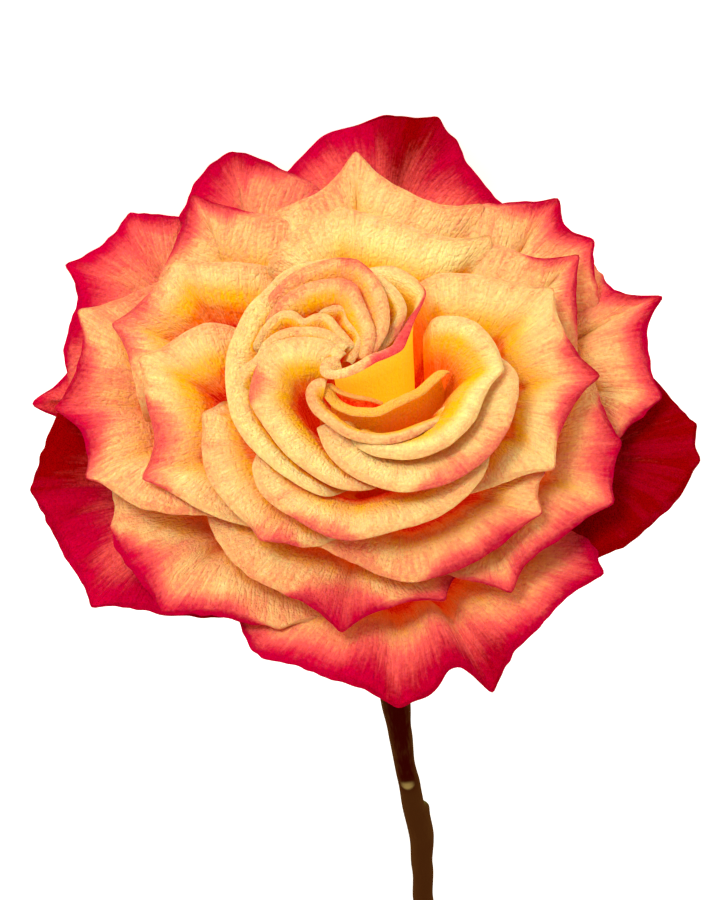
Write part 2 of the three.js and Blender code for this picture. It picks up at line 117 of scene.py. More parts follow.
camera_data = bpy.data.cameras.new("camera")
camera_data.sensor_width = SENSOR
camera_data.lens = SENSOR * LENS_PER_SENSOR
camera_data.clip_start = 0.05
camera_data.clip_end = 20
camera = bpy.data.objects.new("camera", camera_data)
bpy.context.scene.collection.objects.link(camera)
right_way = picture_direction(1, 0, 0)
up_way = picture_direction(0, 1, 0)
back_way = picture_direction(0, 0, 1)
turned = Matrix((right_way, up_way, back_way)).transposed().to_4x4()
aim_point = LAY_DOWN @ AIM
camera.matrix_world = Matrix.Translation(aim_point + back_way * CAMERA_DISTANCE * MM) @ turned
bpy.context.scene.camera = camera
print("camera height above the table, m:", round(camera.location.z, 3))

# %% [markdown]
# Light and table
#
# A soft studio: one large window-like light from the upper left of the picture, a weaker one
# from below it, a warm surround, and a pale table top. The table glows faintly, as a lit
# paper sweep does, so that the shadows on it stay pale.

# %% Light and table
KEY_POWER = 3.3
FILL_POWER = 2.5
SURROUND = 0.6


def soft_light(name, direction, distance, size, power, color):
    """A square light that shines on the bloom from the given direction."""
    data = bpy.data.lights.new(name, "AREA")
    data.size = size
    data.energy = power
    data.color = color
    light = bpy.data.objects.new(name, data)
    bpy.context.scene.collection.objects.link(light)
    middle = LAY_DOWN @ Vector((0, 0, 30))
    light.location = middle + direction * distance
    light.rotation_mode = "QUATERNION"
    light.rotation_quaternion = direction.to_track_quat("Z", "Y")
    return light


# The key is daylight white; the fill and the surround are warm, like light off a sunlit wall
soft_light("key", picture_direction(-0.42, 0.48, 0.82), 0.75, 0.3, KEY_POWER, (1.0, 0.98, 0.95))
soft_light("fill", picture_direction(0.15, -0.75, 0.65), 0.8, 0.4, FILL_POWER, (1.0, 0.94, 0.84))

world = bpy.data.worlds.new("surround")
bpy.context.scene.world = world
world.use_nodes = True
world.node_tree.nodes["Background"].inputs["Color"].default_value = (1.0, 0.87, 0.7, 1.0)
world.node_tree.nodes["Background"].inputs["Strength"].default_value = SURROUND
bpy.context.scene.view_settings.view_transform = "Standard"

# %% [markdown]
# Colours
#
# Colours are given as the sRGB values that a screen shows. Shaders work with linear
# light, so one function converts them. A surface is painted as a painter would do it, colour over
# colour: each coat covers more of the one below as some value rises.

# %% Colour and node helpers


def linear(hex_color):
    """A linear colour with alpha from an sRGB hex value."""
    channels = [int(hex_color[start:start + 2], 16) / 255 for start in (1, 3, 5)]
    return tuple(
        value / 12.92 if value <= 0.04045 else ((value + 0.055) / 1.055) ** 2.4
        for value in channels
    ) + (1.0,)


def add(tree, kind, settings=(), inputs=()):
    """Adds a node; inputs are values, or sockets that are linked. Both are name and value pairs."""
    node = tree.nodes.new(kind)
    for name, value in dict(settings).items():
        setattr(node, name, value)
    for name, value in dict(inputs).items():
        if isinstance(value, bpy.types.NodeSocket):
            tree.links.new(value, node.inputs[name])
        else:
            node.inputs[name].default_value = value
    return node


def paint(tree, base, color, value, low, high, most=1.0, change="SMOOTHSTEP"):
    """Covers a base with a colour, from nothing where value is low to most of it at high."""
    amount = add(tree, "ShaderNodeMapRange", {"interpolation_type": change}, {
        "Value": value, "From Min": low, "From Max": high, "To Max": most})
    return add(tree, "ShaderNodeMix", {"data_type": "RGBA"}, {
        0: amount.outputs["Result"], 6: base, 7: color}).outputs[2]


def dress(tree, shader, color, height, strength, relief_mm, roughness, gloss=0.5):
    """Gives a shader its colour, its fine relief, its roughness and how strongly it reflects."""
    tree.links.new(color, shader.inputs["Base Color"])
    bump = add(tree, "ShaderNodeBump", inputs={
        "Height": height, "Strength": strength, "Distance": relief_mm * MM})
    tree.links.new(bump.outputs["Normal"], shader.inputs["Normal"])
    shader.inputs["Roughness"].default_value = roughness
    shader.inputs["Specular IOR Level"].default_value = gloss


def new_material(name):
    """An empty material with its Principled shader. A faint glow isn't treated as a lamp."""
    material = bpy.data.materials.new(name)
    material.use_nodes = True
    material.cycles.emission_sampling = "NONE"
    return material, material.node_tree, material.node_tree.nodes["Principled BSDF"]


# Lit paper scatters light evenly, without gloss, and glows a little in the shadows
table_material, tree, shader = new_material("pale_paper_sweep")
shader.inputs["Base Color"].default_value = linear("#F4F4F4")
shader.inputs["Roughness"].default_value = 0.9
shader.inputs["Emission Color"].default_value = (1, 1, 1, 1)
shader.inputs["Emission Strength"].default_value = 0.7

sweep = bmesh.new()
bmesh.ops.create_grid(sweep, x_segments=2, y_segments=2, size=3)
table_mesh = bpy.data.meshes.new("table")
sweep.to_mesh(table_mesh)
sweep.free()
table = bpy.data.objects.new("table", table_mesh)
table_mesh.materials.append(table_material)
bpy.context.scene.collection.objects.link(table)

# %% [markdown]
# The petals' shape
#
# A rose petal is a sheet that rises from a narrow claw, stands up round the heart as a wall and
# then rolls outwards in a lip. Only its margin is irregular. So each petal is described by its
# margin alone, as a few points [azimuth, reach, height] with a fourth number where the margin is
# drawn out to a pointed tip, and the whorl that it belongs to gives the rest.
#
# It could be sculpted by hand from a plane, but thirty-seven petals that wrap round each other
# are easier to keep apart when each one is a formula of its margin.
#
# A whorl gives its petals their root as [reach, height], the length of the lip and how many
# degrees it climbs, where the wall stands as shares of the way out and up, the radius and the
# angle by which the margin rolls back, and how much it waves. gold is the depth in mm below the
# margin at which butter yellow has turned gold, orange the further depth at which gold turns
# orange, partly the petal's own colour and partly painted shade, and red how red the margin's
# band gets.

# %% Whorls
WHORLS = {
    "guard": dict(
        root=(7.0, 0), lip=24, climb=0, wall_out=0.50, wall_up=0.66, roll=1.9, roll_turn=45,
        wave=0.7, gold=20, orange=14, red=1.0),
    "outer": dict(
        root=(6.5, 1), lip=20, climb=4, wall_out=0.50, wall_up=0.78, roll=1.8, roll_turn=45,
        wave=0.4, gold=13, orange=8, red=0.9),
    "middle": dict(
        root=(6.0, 2), lip=17, climb=5, wall_out=0.52, wall_up=0.86, roll=1.7, roll_turn=45,
        wave=0.3, gold=9, orange=6, red=0.6),
    "inner": dict(
        root=(5.0, 3), lip=14, climb=7, wall_out=0.58, wall_up=0.88, roll=1.5, roll_turn=50,
        wave=0.2, gold=8, orange=5, red=0.52),
    "heart": dict(
        root=(3.5, 4), lip=9, climb=23, wall_out=0.50, wall_up=0.82, roll=0.8, roll_turn=80,
        wave=0.1, gold=5, orange=4, red=0.52),
}
USUAL = dict(crimson=0, dark=0, stains=[], cover=1, glow=0)

# %% [markdown]
# The margins
#
# One entry for each petal, named after its whorl and its place in the picture. blush is how
# strong its peach flush is and how far in mm it reaches from the margin, and crimson is the width
# of the red band. stains widens both round an azimuth: [azimuth, extra width], with a third
# number where the stain is a darker red. dark deepens all of a petal's crimson; this dark red is
# partly the petal's own and partly painted shade. cover is how strongly the shade of its
# neighbours is painted on it, and glow how strong a painted glow it gets in place of light that
# comes through it. A petal that curls round the heart also gets its wall as [azimuth, reach,
# azimuth, reach] at its two ends, and the azimuth that its face looks to. climb and roll_turn are
# pairs where the two ends differ.

# %% Outer petals
PETALS = {
    "guard_top": dict(blush=(0.6, 30), crimson=3, stains=[(72, 11, 0.9), (62, 7, 0.4)], margin=[
        (43, 48, 36), (50, 49, 41), (62, 55, 44, 1), (66, 58, 45, 1.5), (75, 57, 46, 1.5),
        (82, 56, 45), (90, 52, 43), (100, 48, 38)]),
    "guard_upper_left": dict(
        blush=(0.5, 26), crimson=0.3, stains=[(103, 5, 0.4), (111, 3), (118, 1.5)], margin=[
        (82, 45, 38), (87, 46, 42), (94, 50, 43), (102, 56, 44, 2), (108, 55, 43), (116, 51, 41),
        (123, 50, 36)]),
    "guard_left": dict(
        blush=(0.5, 26), crimson=0.5, stains=[(123, 3), (137, 4), (146, 3)], margin=[
        (111, 47, 36), (117, 51, 41), (123, 56, 41, 2), (130, 56, 41), (137, 57, 41, 2),
        (142, 53, 40), (152, 51, 39), (159, 49, 37), (164, 47, 30)]),
    "guard_left_low": dict(blush=(0.6, 24), crimson=2, margin=[
        (142, 54, 30), (155, 51, 34), (161, 54, 34, 2), (162, 51, 31), (162, 47, 24)]),
    "guard_crimson_left": dict(
        blush=(0.55, 30), crimson=8, dark=0.15, stains=[(164, 9, 0.8), (172, 6, 0.6), (180, 6, 0.4),
        (190, 3), (228, 5, 0.7)], margin=[
        (150, 51, 28), (162, 50, 34), (171, 52, 34), (179, 54, 33, 1), (186, 53, 33),
        (194, 52, 33), (206, 51, 33, 2), (213, 47, 33), (226, 41, 33), (231, 33, 26)]),
    "guard_lower_left": dict(blush=(0.3, 14), stains=[(206, 4.5), (220, 3), (232, 2)], margin=[
        (170, 40, 30), (187, 41, 36), (200, 44, 37), (219, 45, 37, 1), (229, 41, 36),
        (244, 38, 35, 1), (256, 35, 33), (268, 28, 26)]),
    "guard_bottom": dict(
        gold=13, blush=(0.45, 12), crimson=1.5, stains=[(247, 3), (264, 4, 0.2), (274, 7, 0.3),
        (288, 8, 0.5), (316, 3), (330, 3)], margin=[
        (218, 32, 24), (233, 39, 32), (242, 44, 34), (251, 45, 35), (261, 48, 35),
        (270, 52, 35, 1), (276, 52, 35), (282, 49, 36), (286, 54, 34, 1), (293, 51, 35),
        (304, 49, 35), (316, 49, 34, 2), (323, 46, 33), (331, 41, 30), (338, 35, 24)]),
    "guard_crimson_right": dict(blush=(0.6, 60), crimson=34, dark=0.95, margin=[
        (377, 51, 28), (360, 52, 34), (350, 57, 35, 1), (343, 58, 35, 1), (337, 57, 35),
        (326, 52, 34), (319, 47, 33), (312, 43, 30), (306, 37, 25)]),
    "guard_right": dict(
        blush=(0.35, 14), crimson=0.3, stains=[(13, 3, 0.2), (4, 1), (-6, 2)], margin=[
        (35, 55, 30), (17, 51, 40), (13, 55, 40, 2), (8, 52, 40), (1, 51, 39), (-6, 51.5, 38, 1),
        (-11, 48, 38), (-16, 44, 36), (-18, 40, 30)]),
    "guard_upper_right": dict(
        blush=(0.3, 12), crimson=0.2, stains=[(38, 4, 0.4), (28, 1.5)], margin=[
        (12, 44, 34), (18, 47, 40), (28, 51, 43, 1.5), (33, 50, 43), (39, 52, 43, 2),
        (44, 49, 44), (50, 45, 44), (59, 46, 38)]),
    "outer_top": dict(blush=(0.27, 9), margin=[
        (41, 39, 40), (50, 43, 45, 2), (60, 41, 46), (68, 42, 47), (79, 47, 47, 2.5),
        (87, 42, 46), (99, 41, 44), (105, 43, 38)]),
    "outer_upper_left": dict(blush=(0.3, 13), stains=[(113, 3, 0.3), (120, 1.5)], margin=[
        (85, 37, 40), (93, 38, 44), (104, 42, 45), (113, 49, 45, 2), (121, 45, 44), (129, 43, 42),
        (135, 42, 36)]),
    "outer_left": dict(blush=(0.33, 22), stains=[(157, 2), (168, 5), (177, 2)], margin=[
        (123, 43, 38), (135, 43, 43), (146, 49, 43, 2), (153, 47, 42), (166, 48, 40, 2.5),
        (175, 44, 41), (184, 43, 41, 2), (198, 38, 42), (210, 30, 41), (211, 25, 36)]),
    "outer_right_up": dict(blush=(0.33, 9), stains=[(25, 1.8), (16, 1.2)], margin=[
        (2, 39, 38), (14, 42, 44), (25, 46, 45, 2), (30, 41, 46), (39, 39, 46), (48, 38, 42)]),
    "outer_lower_right": dict(
        gold=11, blush=(0.34, 10), crimson=0.5, stains=[(339, 5), (318, 1.5), (302, 2)], margin=[
        (373, 40, 36), (359, 41, 41), (341, 45, 41, 1), (328, 46, 40, 2), (318, 43, 39),
        (306, 41, 39), (300, 42, 39, 2), (291, 35, 38), (287, 28, 34)]),
    "outer_front": dict(blush=(0.3, 7), stains=[(262, 8, 0.2), (254, 3), (285, 3)], margin=[
        (303, 32, 34), (285, 37, 39, 2), (270, 37, 39), (260, 39, 38, 1), (249, 35, 39),
        (235, 34, 40), (222, 32, 40), (208, 29, 39), (194, 26, 35)]),
}

# %% Middle and inner petals
PETALS.update({
    "middle_upper_left": dict(gold=8, blush=(0.22, 7), stains=[(146, 5)], margin=[
        (98, 29, 42), (111, 32, 46), (127, 40, 46, 1), (137, 40, 46), (147, 41, 45, 2.5),
        (156, 37, 45), (166, 35, 43), (170, 34, 36)]),
    "middle_left": dict(gold=9, blush=(0.22, 7), stains=[(178, 5), (190, 3)], margin=[
        (124, 21, 42), (139, 27, 48), (157, 34, 47, 2), (169, 33, 46), (182, 32, 45),
        (192, 34, 44, 2), (211, 30, 43), (227, 26, 41), (234, 21, 36)]),
    "middle_lower_left": dict(gold=8, blush=(0.2, 7), stains=[(238, 3)], margin=[
        (152, 20, 38), (176, 23, 46, 1), (190, 25, 46), (212, 27, 46), (234, 28, 45, 1.5),
        (250, 28, 44), (261, 25, 43), (279, 20, 38)]),
    "middle_top": dict(gold=14, blush=(0.22, 4), margin=[
        (33, 34, 42), (42, 38, 47, 1.5), (53, 34, 48), (68, 34, 49), (82, 35, 50, 1),
        (96, 33, 49), (106, 30, 47), (110, 28, 42)]),
    "middle_right": dict(
        gold=12, red=0.85, blush=(0.22, 7), stains=[(-5, 5, 0.3), (-16, 2)], margin=[
        (60, 19, 40), (54, 22, 46), (44, 27, 49), (28, 33, 49), (18, 38, 48, 2), (6, 38, 47),
        (-6, 40, 46, 2.5), (-18, 37, 46), (-31, 36, 45, 2), (-41, 31, 44), (-51, 26, 42),
        (-53, 21, 36)]),
    "middle_front": dict(
        gold=10, orange=4, red=0.85, blush=(0.34, 9), stains=[(306, 3, 0.2), (292, 3, 0.2)],
        margin=[
        (342, 32, 38), (327, 34, 43, 2), (317, 37, 42, 2), (304, 37, 42), (289, 36, 42),
        (278, 35, 42), (264, 30, 43), (252, 27, 43), (236, 22, 38)]),
    "inner_front": dict(
        gold=9, orange=4, blush=(0.2, 7), stains=[(258, 2.5), (248, 1.5)], margin=[
        (193, 14, 42), (214, 20, 48), (226, 23, 48), (246, 26, 48), (263, 28, 47), (281, 28, 47),
        (298, 29, 47), (311, 29, 48), (324, 27, 48), (338, 24, 44)]),
    "inner_lower_right": dict(
        lip=16, wall=(225, 12, 385, 20), face=300, gold=11, cover=0.5, blush=(0.2, 6),
        stains=[(300, 2.5), (311, 3.5), (325, 1.5)], margin=[
        (235, 9, 50), (254, 14, 50), (267, 18, 50), (287, 23.5, 50), (310, 27.5, 50),
        (327, 29, 50), (351, 29, 50), (364, 26, 48), (379, 25, 42)]),
    "inner_right": dict(
        lip=11, wall=(262, 12.5, 395, 17), face=330, gold=7, orange=12, cover=0.6, blush=(0.15, 4),
        margin=[
        (265.5, 10.2, 49), (280, 14.9, 50.5), (292.5, 18, 51), (304, 20.8, 51.5), (312, 22.4, 52),
        (322, 23.4, 52), (329, 24, 52), (344, 24.5, 52), (352, 26, 52, 1), (362, 26, 52),
        (376, 24, 52), (389, 20, 50), (395, 18, 44)]),
})

# %% Heart petals
PETALS.update({
    "heart_wrap_left": dict(lip=11, climb=18, gold=8, blush=(0.08, 3), margin=[
        (81, 25.6, 48), (84, 24.3, 51), (95, 22.9, 53), (107, 22.4, 53.5), (118, 21.1, 53.5),
        (128, 20.8, 53.5), (142, 19.8, 53), (154, 19.5, 52.5), (165, 19.1, 52), (189, 18.8, 51),
        (212, 18.7, 50), (235, 19.3, 49), (253, 20.2, 48), (264, 16.7, 44)]),
    "heart_left_second": dict(gold=4, blush=(0.18, 5), margin=[
        (177, 17.4, 48), (174, 17.6, 51), (169, 17.3, 52), (163, 16.2, 53), (156, 14.1, 53.5),
        (147, 14, 54), (137, 13.2, 54.5), (126, 11.7, 55), (112, 9.7, 55), (96, 7.9, 55),
        (80, 6.3, 54.5), (60, 4.9, 54)]),
    "heart_left_inner": dict(
        lip=12, climb=14, gold=9, orange=7, blush=(0.17, 5), stains=[(172, 4), (181, 2)], margin=[
        (285, 16.1, 44), (274, 19.7, 48), (258, 19.1, 49), (234, 16.3, 50), (203, 15, 51),
        (185, 15.5, 52), (176, 14.9, 52.5), (163, 14.1, 53), (152, 13.5, 54), (141, 11.8, 54.5),
        (128, 9, 55), (111, 6.7, 55), (90, 4.9, 54.5), (61, 3.3, 54)]),
    "heart_notch": dict(gold=2.5, blush=(0.15, 3), margin=[
        (150, 16.4, 49), (145, 16.2, 52), (132, 15.9, 54), (122, 15.6, 54.5), (116, 14.5, 55),
        (112, 13, 55), (112, 11.5, 54.5), (107, 11.6, 55), (97, 11.4, 55), (89, 10.5, 55),
        (80, 8.3, 54.5), (65, 6.4, 54), (52, 5.6, 53.5)]),
    "heart_curl": dict(lip=6, gold=2.5, blush=(0.2, 3), margin=[
        (101, 14.7, 51), (94, 12.9, 54), (82, 12.7, 54.5), (75, 12.5, 54.5), (72, 11.8, 54.5),
        (72, 10.4, 54), (63, 8.9, 54), (56, 8.7, 54), (48, 7.7, 54), (42, 5.7, 53.5),
        (31, 2.7, 53)]),
    "heart_pink_second": dict(gold=5, orange=9, blush=(0.28, 5), stains=[(72, 1.2)], margin=[
        (131, 17.6, 50), (126, 16.8, 53.5), (117, 16.8, 55), (104, 16.8, 56), (88, 16.5, 56.5),
        (77, 16.2, 56.5), (70, 15.2, 56.5), (64, 13.1, 56), (50, 10.4, 55.5), (36, 8.6, 55),
        (22, 6.2, 54), (15, 4.9, 53)]),
    "heart_pink_outer": dict(blush=(0.3, 8), stains=[(72, 2.5)], margin=[
        (122, 20.6, 50), (119, 19.4, 53.5), (109, 19.6, 55.5), (96, 19.9, 56.5), (81, 20.3, 57),
        (73, 19.8, 57, 0.5), (65, 18.4, 57), (55, 16.1, 56.5), (43, 13.2, 56), (33, 10.6, 55),
        (23, 7.5, 54), (15, 5.7, 53)]),
    "heart_fan": dict(lip=6, cover=0.35, blush=(0.12, 3), stains=[(30, 1)], margin=[
        (75, 20.9, 52), (65, 19.3, 55), (57, 18.1, 55.5), (46, 17, 55.5), (37, 15.8, 54.5),
        (32, 13.5, 53.5), (27, 10.5, 53), (20, 7.1, 52.5)]),
    "heart_cone": dict(
        lip=5.5, climb=(20, 95), roll=1.6, roll_turn=(80, 125), wall=(70, 15, -110, 5), face=-20,
        gold=12, orange=100, red=0.68, cover=0.2, glow=0.65, blush=(0.25, 3), stains=[(34, 2),
        (24, 3), (12, 3.5), (0, 2)], margin=[
        (71, 23, 50), (60, 22.4, 53), (51, 21.8, 54), (43, 21, 54), (39, 20.5, 53.5, 0.5),
        (35, 18.6, 53.5), (29, 15.7, 53.5), (20, 13, 53.5), (10, 11.2, 54), (3, 8.5, 54.5),
        (-3, 6.1, 55), (-25, 3.6, 55), (-66, 2.2, 55), (-122, 2.4, 55), (-158, 3, 55),
        (-190, 3.2, 55), (-215, 3.1, 55), (-252, 3, 54.5), (-277, 2.8, 54)]),
    "heart_front_loop": dict(
        lip=7, climb=18, wall=(175, 6, 350, 17), face=270, gold=4, orange=8, blush=(0.25, 4),
        margin=[
        (212, 2.5, 54), (190, 3.9, 54), (196, 5.9, 53), (207, 6.8, 52.5), (226, 7.8, 52),
        (248, 9.1, 52), (263, 10.8, 51.5), (278, 12.4, 51), (293, 14.6, 51), (306, 16.2, 51),
        (318, 17.3, 50.5), (327, 18.4, 50), (331, 18.9, 50, 0.5), (337, 17.6, 49)]),
    "heart_front_inner": dict(
        lip=4, climb=85, roll=1.2, roll_turn=125, wall=(200, 5, 360, 17), face=280, gold=3.5,
        orange=60, cover=0.2, glow=0.6, blush=(0.15, 3), margin=[
        (201, 3.4, 53), (224, 4.6, 52.5), (249, 5.7, 52), (268, 7, 52), (283, 8, 52),
        (300, 9.8, 52), (314, 10.7, 52), (327, 12.1, 51.5), (337, 14, 51), (347, 15.6, 50.5),
        (356, 17.8, 50), (359, 17.9, 48)]),
    "heart_front_strip": dict(
        lip=2, climb=85, roll=0.5, roll_turn=125, wall=(220, 4, 320, 9), face=270, gold=2, orange=4,
        blush=(0.35, 2), margin=[
        (212, 2.8, 53), (248, 3.4, 53), (276, 4.1, 52.5), (293, 5.1, 52), (308, 6.6, 51.5),
        (318, 8.2, 50)]),
})
for name, petal in PETALS.items():
    PETALS[name] = {**USUAL, **WHORLS[name.split("_")[0]], **petal}
print("petals:", len(PETALS))

# %% [markdown]
# A smooth margin
#
# The margin is a centripetal Catmull-Rom curve through its points: it passes through each of
# them and doesn't overshoot where they lie close together. It is read at even distances.

# %% Margin curve
CURVE_PARTS = 24


def knot_step(first, second):
    """The parameter step between two points of a centripetal curve."""
    return max((second - first).length, 1e-6) ** 0.5


def curve_points(points):
    """A dense run of points on the smooth curve through the given ones."""
    ends = [points[0] * 2 - points[1]] + points + [points[-1] * 2 - points[-2]]
    run = []
    for p0, p1, p2, p3 in zip(ends, ends[1:], ends[2:], ends[3:]):
        t1 = knot_step(p0, p1)
        t2 = t1 + knot_step(p1, p2)
        t3 = t2 + knot_step(p2, p3)
        for part in range(CURVE_PARTS):
            t = t1 + (t2 - t1) * part / CURVE_PARTS
            a = p0.lerp(p1, t / t1)
            b = p1.lerp(p2, (t - t1) / (t2 - t1))
            c = p2.lerp(p3, (t - t2) / (t3 - t2))
            near, far = a.lerp(b, t / t2), b.lerp(c, (t - t1) / (t3 - t1))
            run.append(near.lerp(far, (t - t1) / (t2 - t1)))
    return run + [points[-1]]


def even_points(run, count):
    """Points at even distances along a run, and the run's length."""
    reached = [0.0]
    for before, after in zip(run, run[1:]):
        reached.append(reached[-1] + (after - before).length)
    result = []
    step = 0
    for index in range(count + 1):
        wanted = reached[-1] * index / count
        while step < len(run) - 2 and reached[step + 1] < wanted:
            step += 1
        gap = max(reached[step + 1] - reached[step], 1e-9)
        result.append(run[step].lerp(run[step + 1], (wanted - reached[step]) / gap))
    return result, reached[-1]


# %% [markdown]
# One petal
#
# The sheet starts as a flat grid from bmesh. Its columns become profiles from the claw to the
# margin, each a Bezier curve through five control points: claw, belly, wall, lip and margin.
# Three things make it living tissue instead of a neat surface: slow waves that grow towards the
# margin, a finely ragged edge, and a last millimetre or two that roll back. Where a petal
# reaches the table it is pressed flat against it.

# %% Petal sheet
TIP_REACH = 2.2
COLUMN_WIDTH = 1.15
MARGIN_STEPS = 44
UP = 30
PETAL_THICKNESS = 0.36
ROOT_SPREAD = 0.75
CURLED_ROOT_SPREAD = 110
ROLL_START = 0.8
STAIN_SPREAD = 0.13


def read_line(line, share):
    """What lies at a share of the way along a line of evenly spaced points or directions."""
    place = share * (len(line) - 1)
    step = min(int(place), len(line) - 2)
    return line[step].lerp(line[step + 1], place - step)


def margin_columns(knots, pinches):
    """Points of the margin about COLUMN_WIDTH apart, with one on each tip, and their distances.

    The margin has a corner at each tip, so it is drawn from tip to tip.
    """
    corners = [0] + [n for n in range(1, len(knots) - 1) if pinches[n]] + [len(knots) - 1]
    points = [knots[0]]
    distances = [0.0]
    for start, end in zip(corners, corners[1:]):
        run = curve_points(knots[start:end + 1])
        length = sum((b - a).length for a, b in zip(run, run[1:]))
        part, length = even_points(run, max(2, round(length / COLUMN_WIDTH)))
        points += part[1:]
        gaps = len(part) - 1
        distances += [distances[-1] + length * step / gaps for step in range(1, gaps + 1)]
    return points, distances


def bezier(controls, t):
    """A point of the Bezier curve with the given control points."""
    points = controls
    while len(points) > 1:
        points = [a.lerp(b, t) for a, b in zip(points, points[1:])]
    return points[0]


def smoothed(vectors, rounds):
    """The same points or directions, each drawn towards its neighbours but for the two ends."""
    for _ in range(rounds):
        middle = [(a + b * 2 + c) / 4 for a, b, c in zip(vectors, vectors[1:], vectors[2:])]
        vectors = [vectors[0]] + middle + [vectors[-1]]
    return vectors


def rolled_by(out, climb, radius, turn):
    """How far a margin has moved that climbs at first and then rolls back through an angle."""
    across = radius * (math.sin(climb) - math.sin(climb - turn))
    return out * across + Vector((0, 0, radius * (math.cos(climb - turn) - math.cos(climb))))


def along_margin(value, share):
    """A value of a petal that is one number, or a pair if it differs between its two ends."""
    if isinstance(value, tuple):
        return value[0] + (value[1] - value[0]) * blend(0.2, 0.45, share)
    return value


def petal_profiles(shape):
    """The control points of each column, its outward direction and what its margin carries."""
    knots = [polar(*point[:3]) for point in shape["margin"]]
    pinches = [point[3] if len(point) > 3 else 0 for point in shape["margin"]]
    stains = [
        (polar(azimuth, 1, 0), width, darker[0] if darker else 0)
        for azimuth, width, *darker in shape["stains"]]
    margin, length = even_points(curve_points(knots), MARGIN_STEPS)
    middle = sum(margin, Vector()) / len(margin)
    face = shape.get("face", math.degrees(math.atan2(middle.y, middle.x)))
    turn = 1 if sum(a.x * b.y - a.y * b.x for a, b in zip(margin, margin[1:])) > 0 else -1
    extent = abs(shape["margin"][-1][0] - shape["margin"][0][0])
    root_spread = CURLED_ROOT_SPREAD if "wall" in shape else max(50, ROOT_SPREAD * extent)
    root_reach, root_height = shape["root"]

    outwards = []
    for step in range(MARGIN_STEPS + 1):
        along = margin[min(step + 2, MARGIN_STEPS)] - margin[max(step - 2, 0)]
        outwards.append(Vector((along.y, -along.x, 0)).normalized() * turn)
    outwards = smoothed(outwards, 30)
    calm = smoothed(margin, 45)

    columns = []
    points, distances = margin_columns(knots, pinches)
    for point, distance in zip(points, distances):
        share = distance / distances[-1]
        climb = math.radians(along_margin(shape["climb"], share))
        out = read_line(outwards, share).normalized()
        inner = read_line(calm, share)
        pinch = sum(
            height * math.exp(-(point - knot).length / TIP_REACH)
            for height, knot in zip(pinches, knots))
        pointed = max([
            math.exp(-((point - knot).length / 5) ** 2)
            for height, knot in zip(pinches, knots) if height], default=0)
        stain = darker = 0
        for centre, width, dark in stains:
            near = math.exp(-(point.xy.angle_signed(centre.xy) / STAIN_SPREAD) ** 2)
            stain += near * width
            darker += near * dark
        roll_turn = math.radians(along_margin(shape["roll_turn"], share)) * (1 - 0.8 * pointed)
        tip = point + out * pinch - rolled_by(out, climb, shape["roll"], roll_turn)
        root = polar(face + (share - 0.5) * root_spread * turn, root_reach, root_height)
        rise = tip.z - root_height
        belly = root.lerp(inner, 0.5)
        wall = root.lerp(inner, shape["wall_out"])
        if "wall" in shape:
            from_azimuth, from_reach, to_azimuth, to_reach = shape["wall"]
            wall = polar(
                from_azimuth + (to_azimuth - from_azimuth) * share,
                from_reach + (to_reach - from_reach) * share, 0)
            belly = root.lerp(wall, 0.8)
        belly.z = root_height + rise * 0.08
        wall.z = root_height + rise * (0.68 if "wall" in shape else shape["wall_up"])
        lip = inner.lerp(tip, 0.25) - out * shape["lip"] * math.cos(climb)
        lip.z -= shape["lip"] * math.sin(climb)
        columns.append(dict(
            controls=[root, belly, wall, lip, tip], out=out, along=distance,
            climb=climb, roll_turn=roll_turn,
            blush=shape["blush"][0] * (1 + 0.5 * noise.noise(point / 11)),
            blush_reach=shape["blush"][1] + stain,
            crimson=shape["crimson"] * (1 + 0.6 * noise.noise(point / 7)) + stain + 0.3 * pinch,
            dark=shape["dark"] + darker + 0.3 * noise.noise(point / 9)))
    return columns


def living_point(column, share_up, shape, seed):
    """A point of the sheet with its waves, its ragged edge and its rolled-back margin."""
    out, along = column["out"], column["along"]
    rolled = max((share_up - ROLL_START) / (1 - ROLL_START), 0)
    point = bezier(column["controls"], min(share_up / ROLL_START, 1))
    slow = point * 0.085 + Vector((seed, 0, 0))
    quick = Vector((along / 7.5, share_up * 2.0, seed))
    ragged = Vector((along / 1.5, 3.0, seed))
    wave = shape["wave"] * share_up ** 3
    point = point + out * noise.noise(slow) * 0.5 * share_up
    point.z += wave * noise.noise(quick)
    point = point + out * 0.3 * wave * noise.noise(quick + Vector((5, 1, 2)))
    point = point + out * shape["wave"] * share_up ** 10 * noise.noise(ragged)
    point.z += 0.22 * noise.noise(point / 1.6 + Vector((seed, 0, 0))) * blend(0.4, 0.8, share_up)
    return point + rolled_by(out, column["climb"], shape["roll"], column["roll_turn"] * rolled)


def band(distance, width):
    """How strong a red band of the given width is at a distance from the margin, both in mm."""
    return blend(0.1, 1.2, width) * (1 - blend(-0.2, 1.6, distance / max(width, 0.5)))


def finish_piece(name, form, thickness=0):
    """Lays a form drawn in the flower's frame on the table, as a smooth piece.

    A thickness in mm makes a sheet into a wall and refines it once.
    """
    mesh = bpy.data.meshes.new(name)
    form.to_mesh(mesh)
    form.free()
    mesh.transform(LAY_DOWN)
    for polygon in mesh.polygons:
        polygon.use_smooth = True
    for vertex in mesh.vertices:
        vertex.co.z = max(vertex.co.z, 0.5 * thickness * MM)
    piece = bpy.data.objects.new(name, mesh)
    bpy.context.scene.collection.objects.link(piece)
    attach(piece, "root")
    if thickness:
        wall = piece.modifiers.new("thickness", "SOLIDIFY")
        wall.thickness = thickness * MM
        wall.offset = 0
        smooth = piece.modifiers.new("smooth", "SUBSURF")
        smooth.levels = smooth.render_levels = 1
    return piece


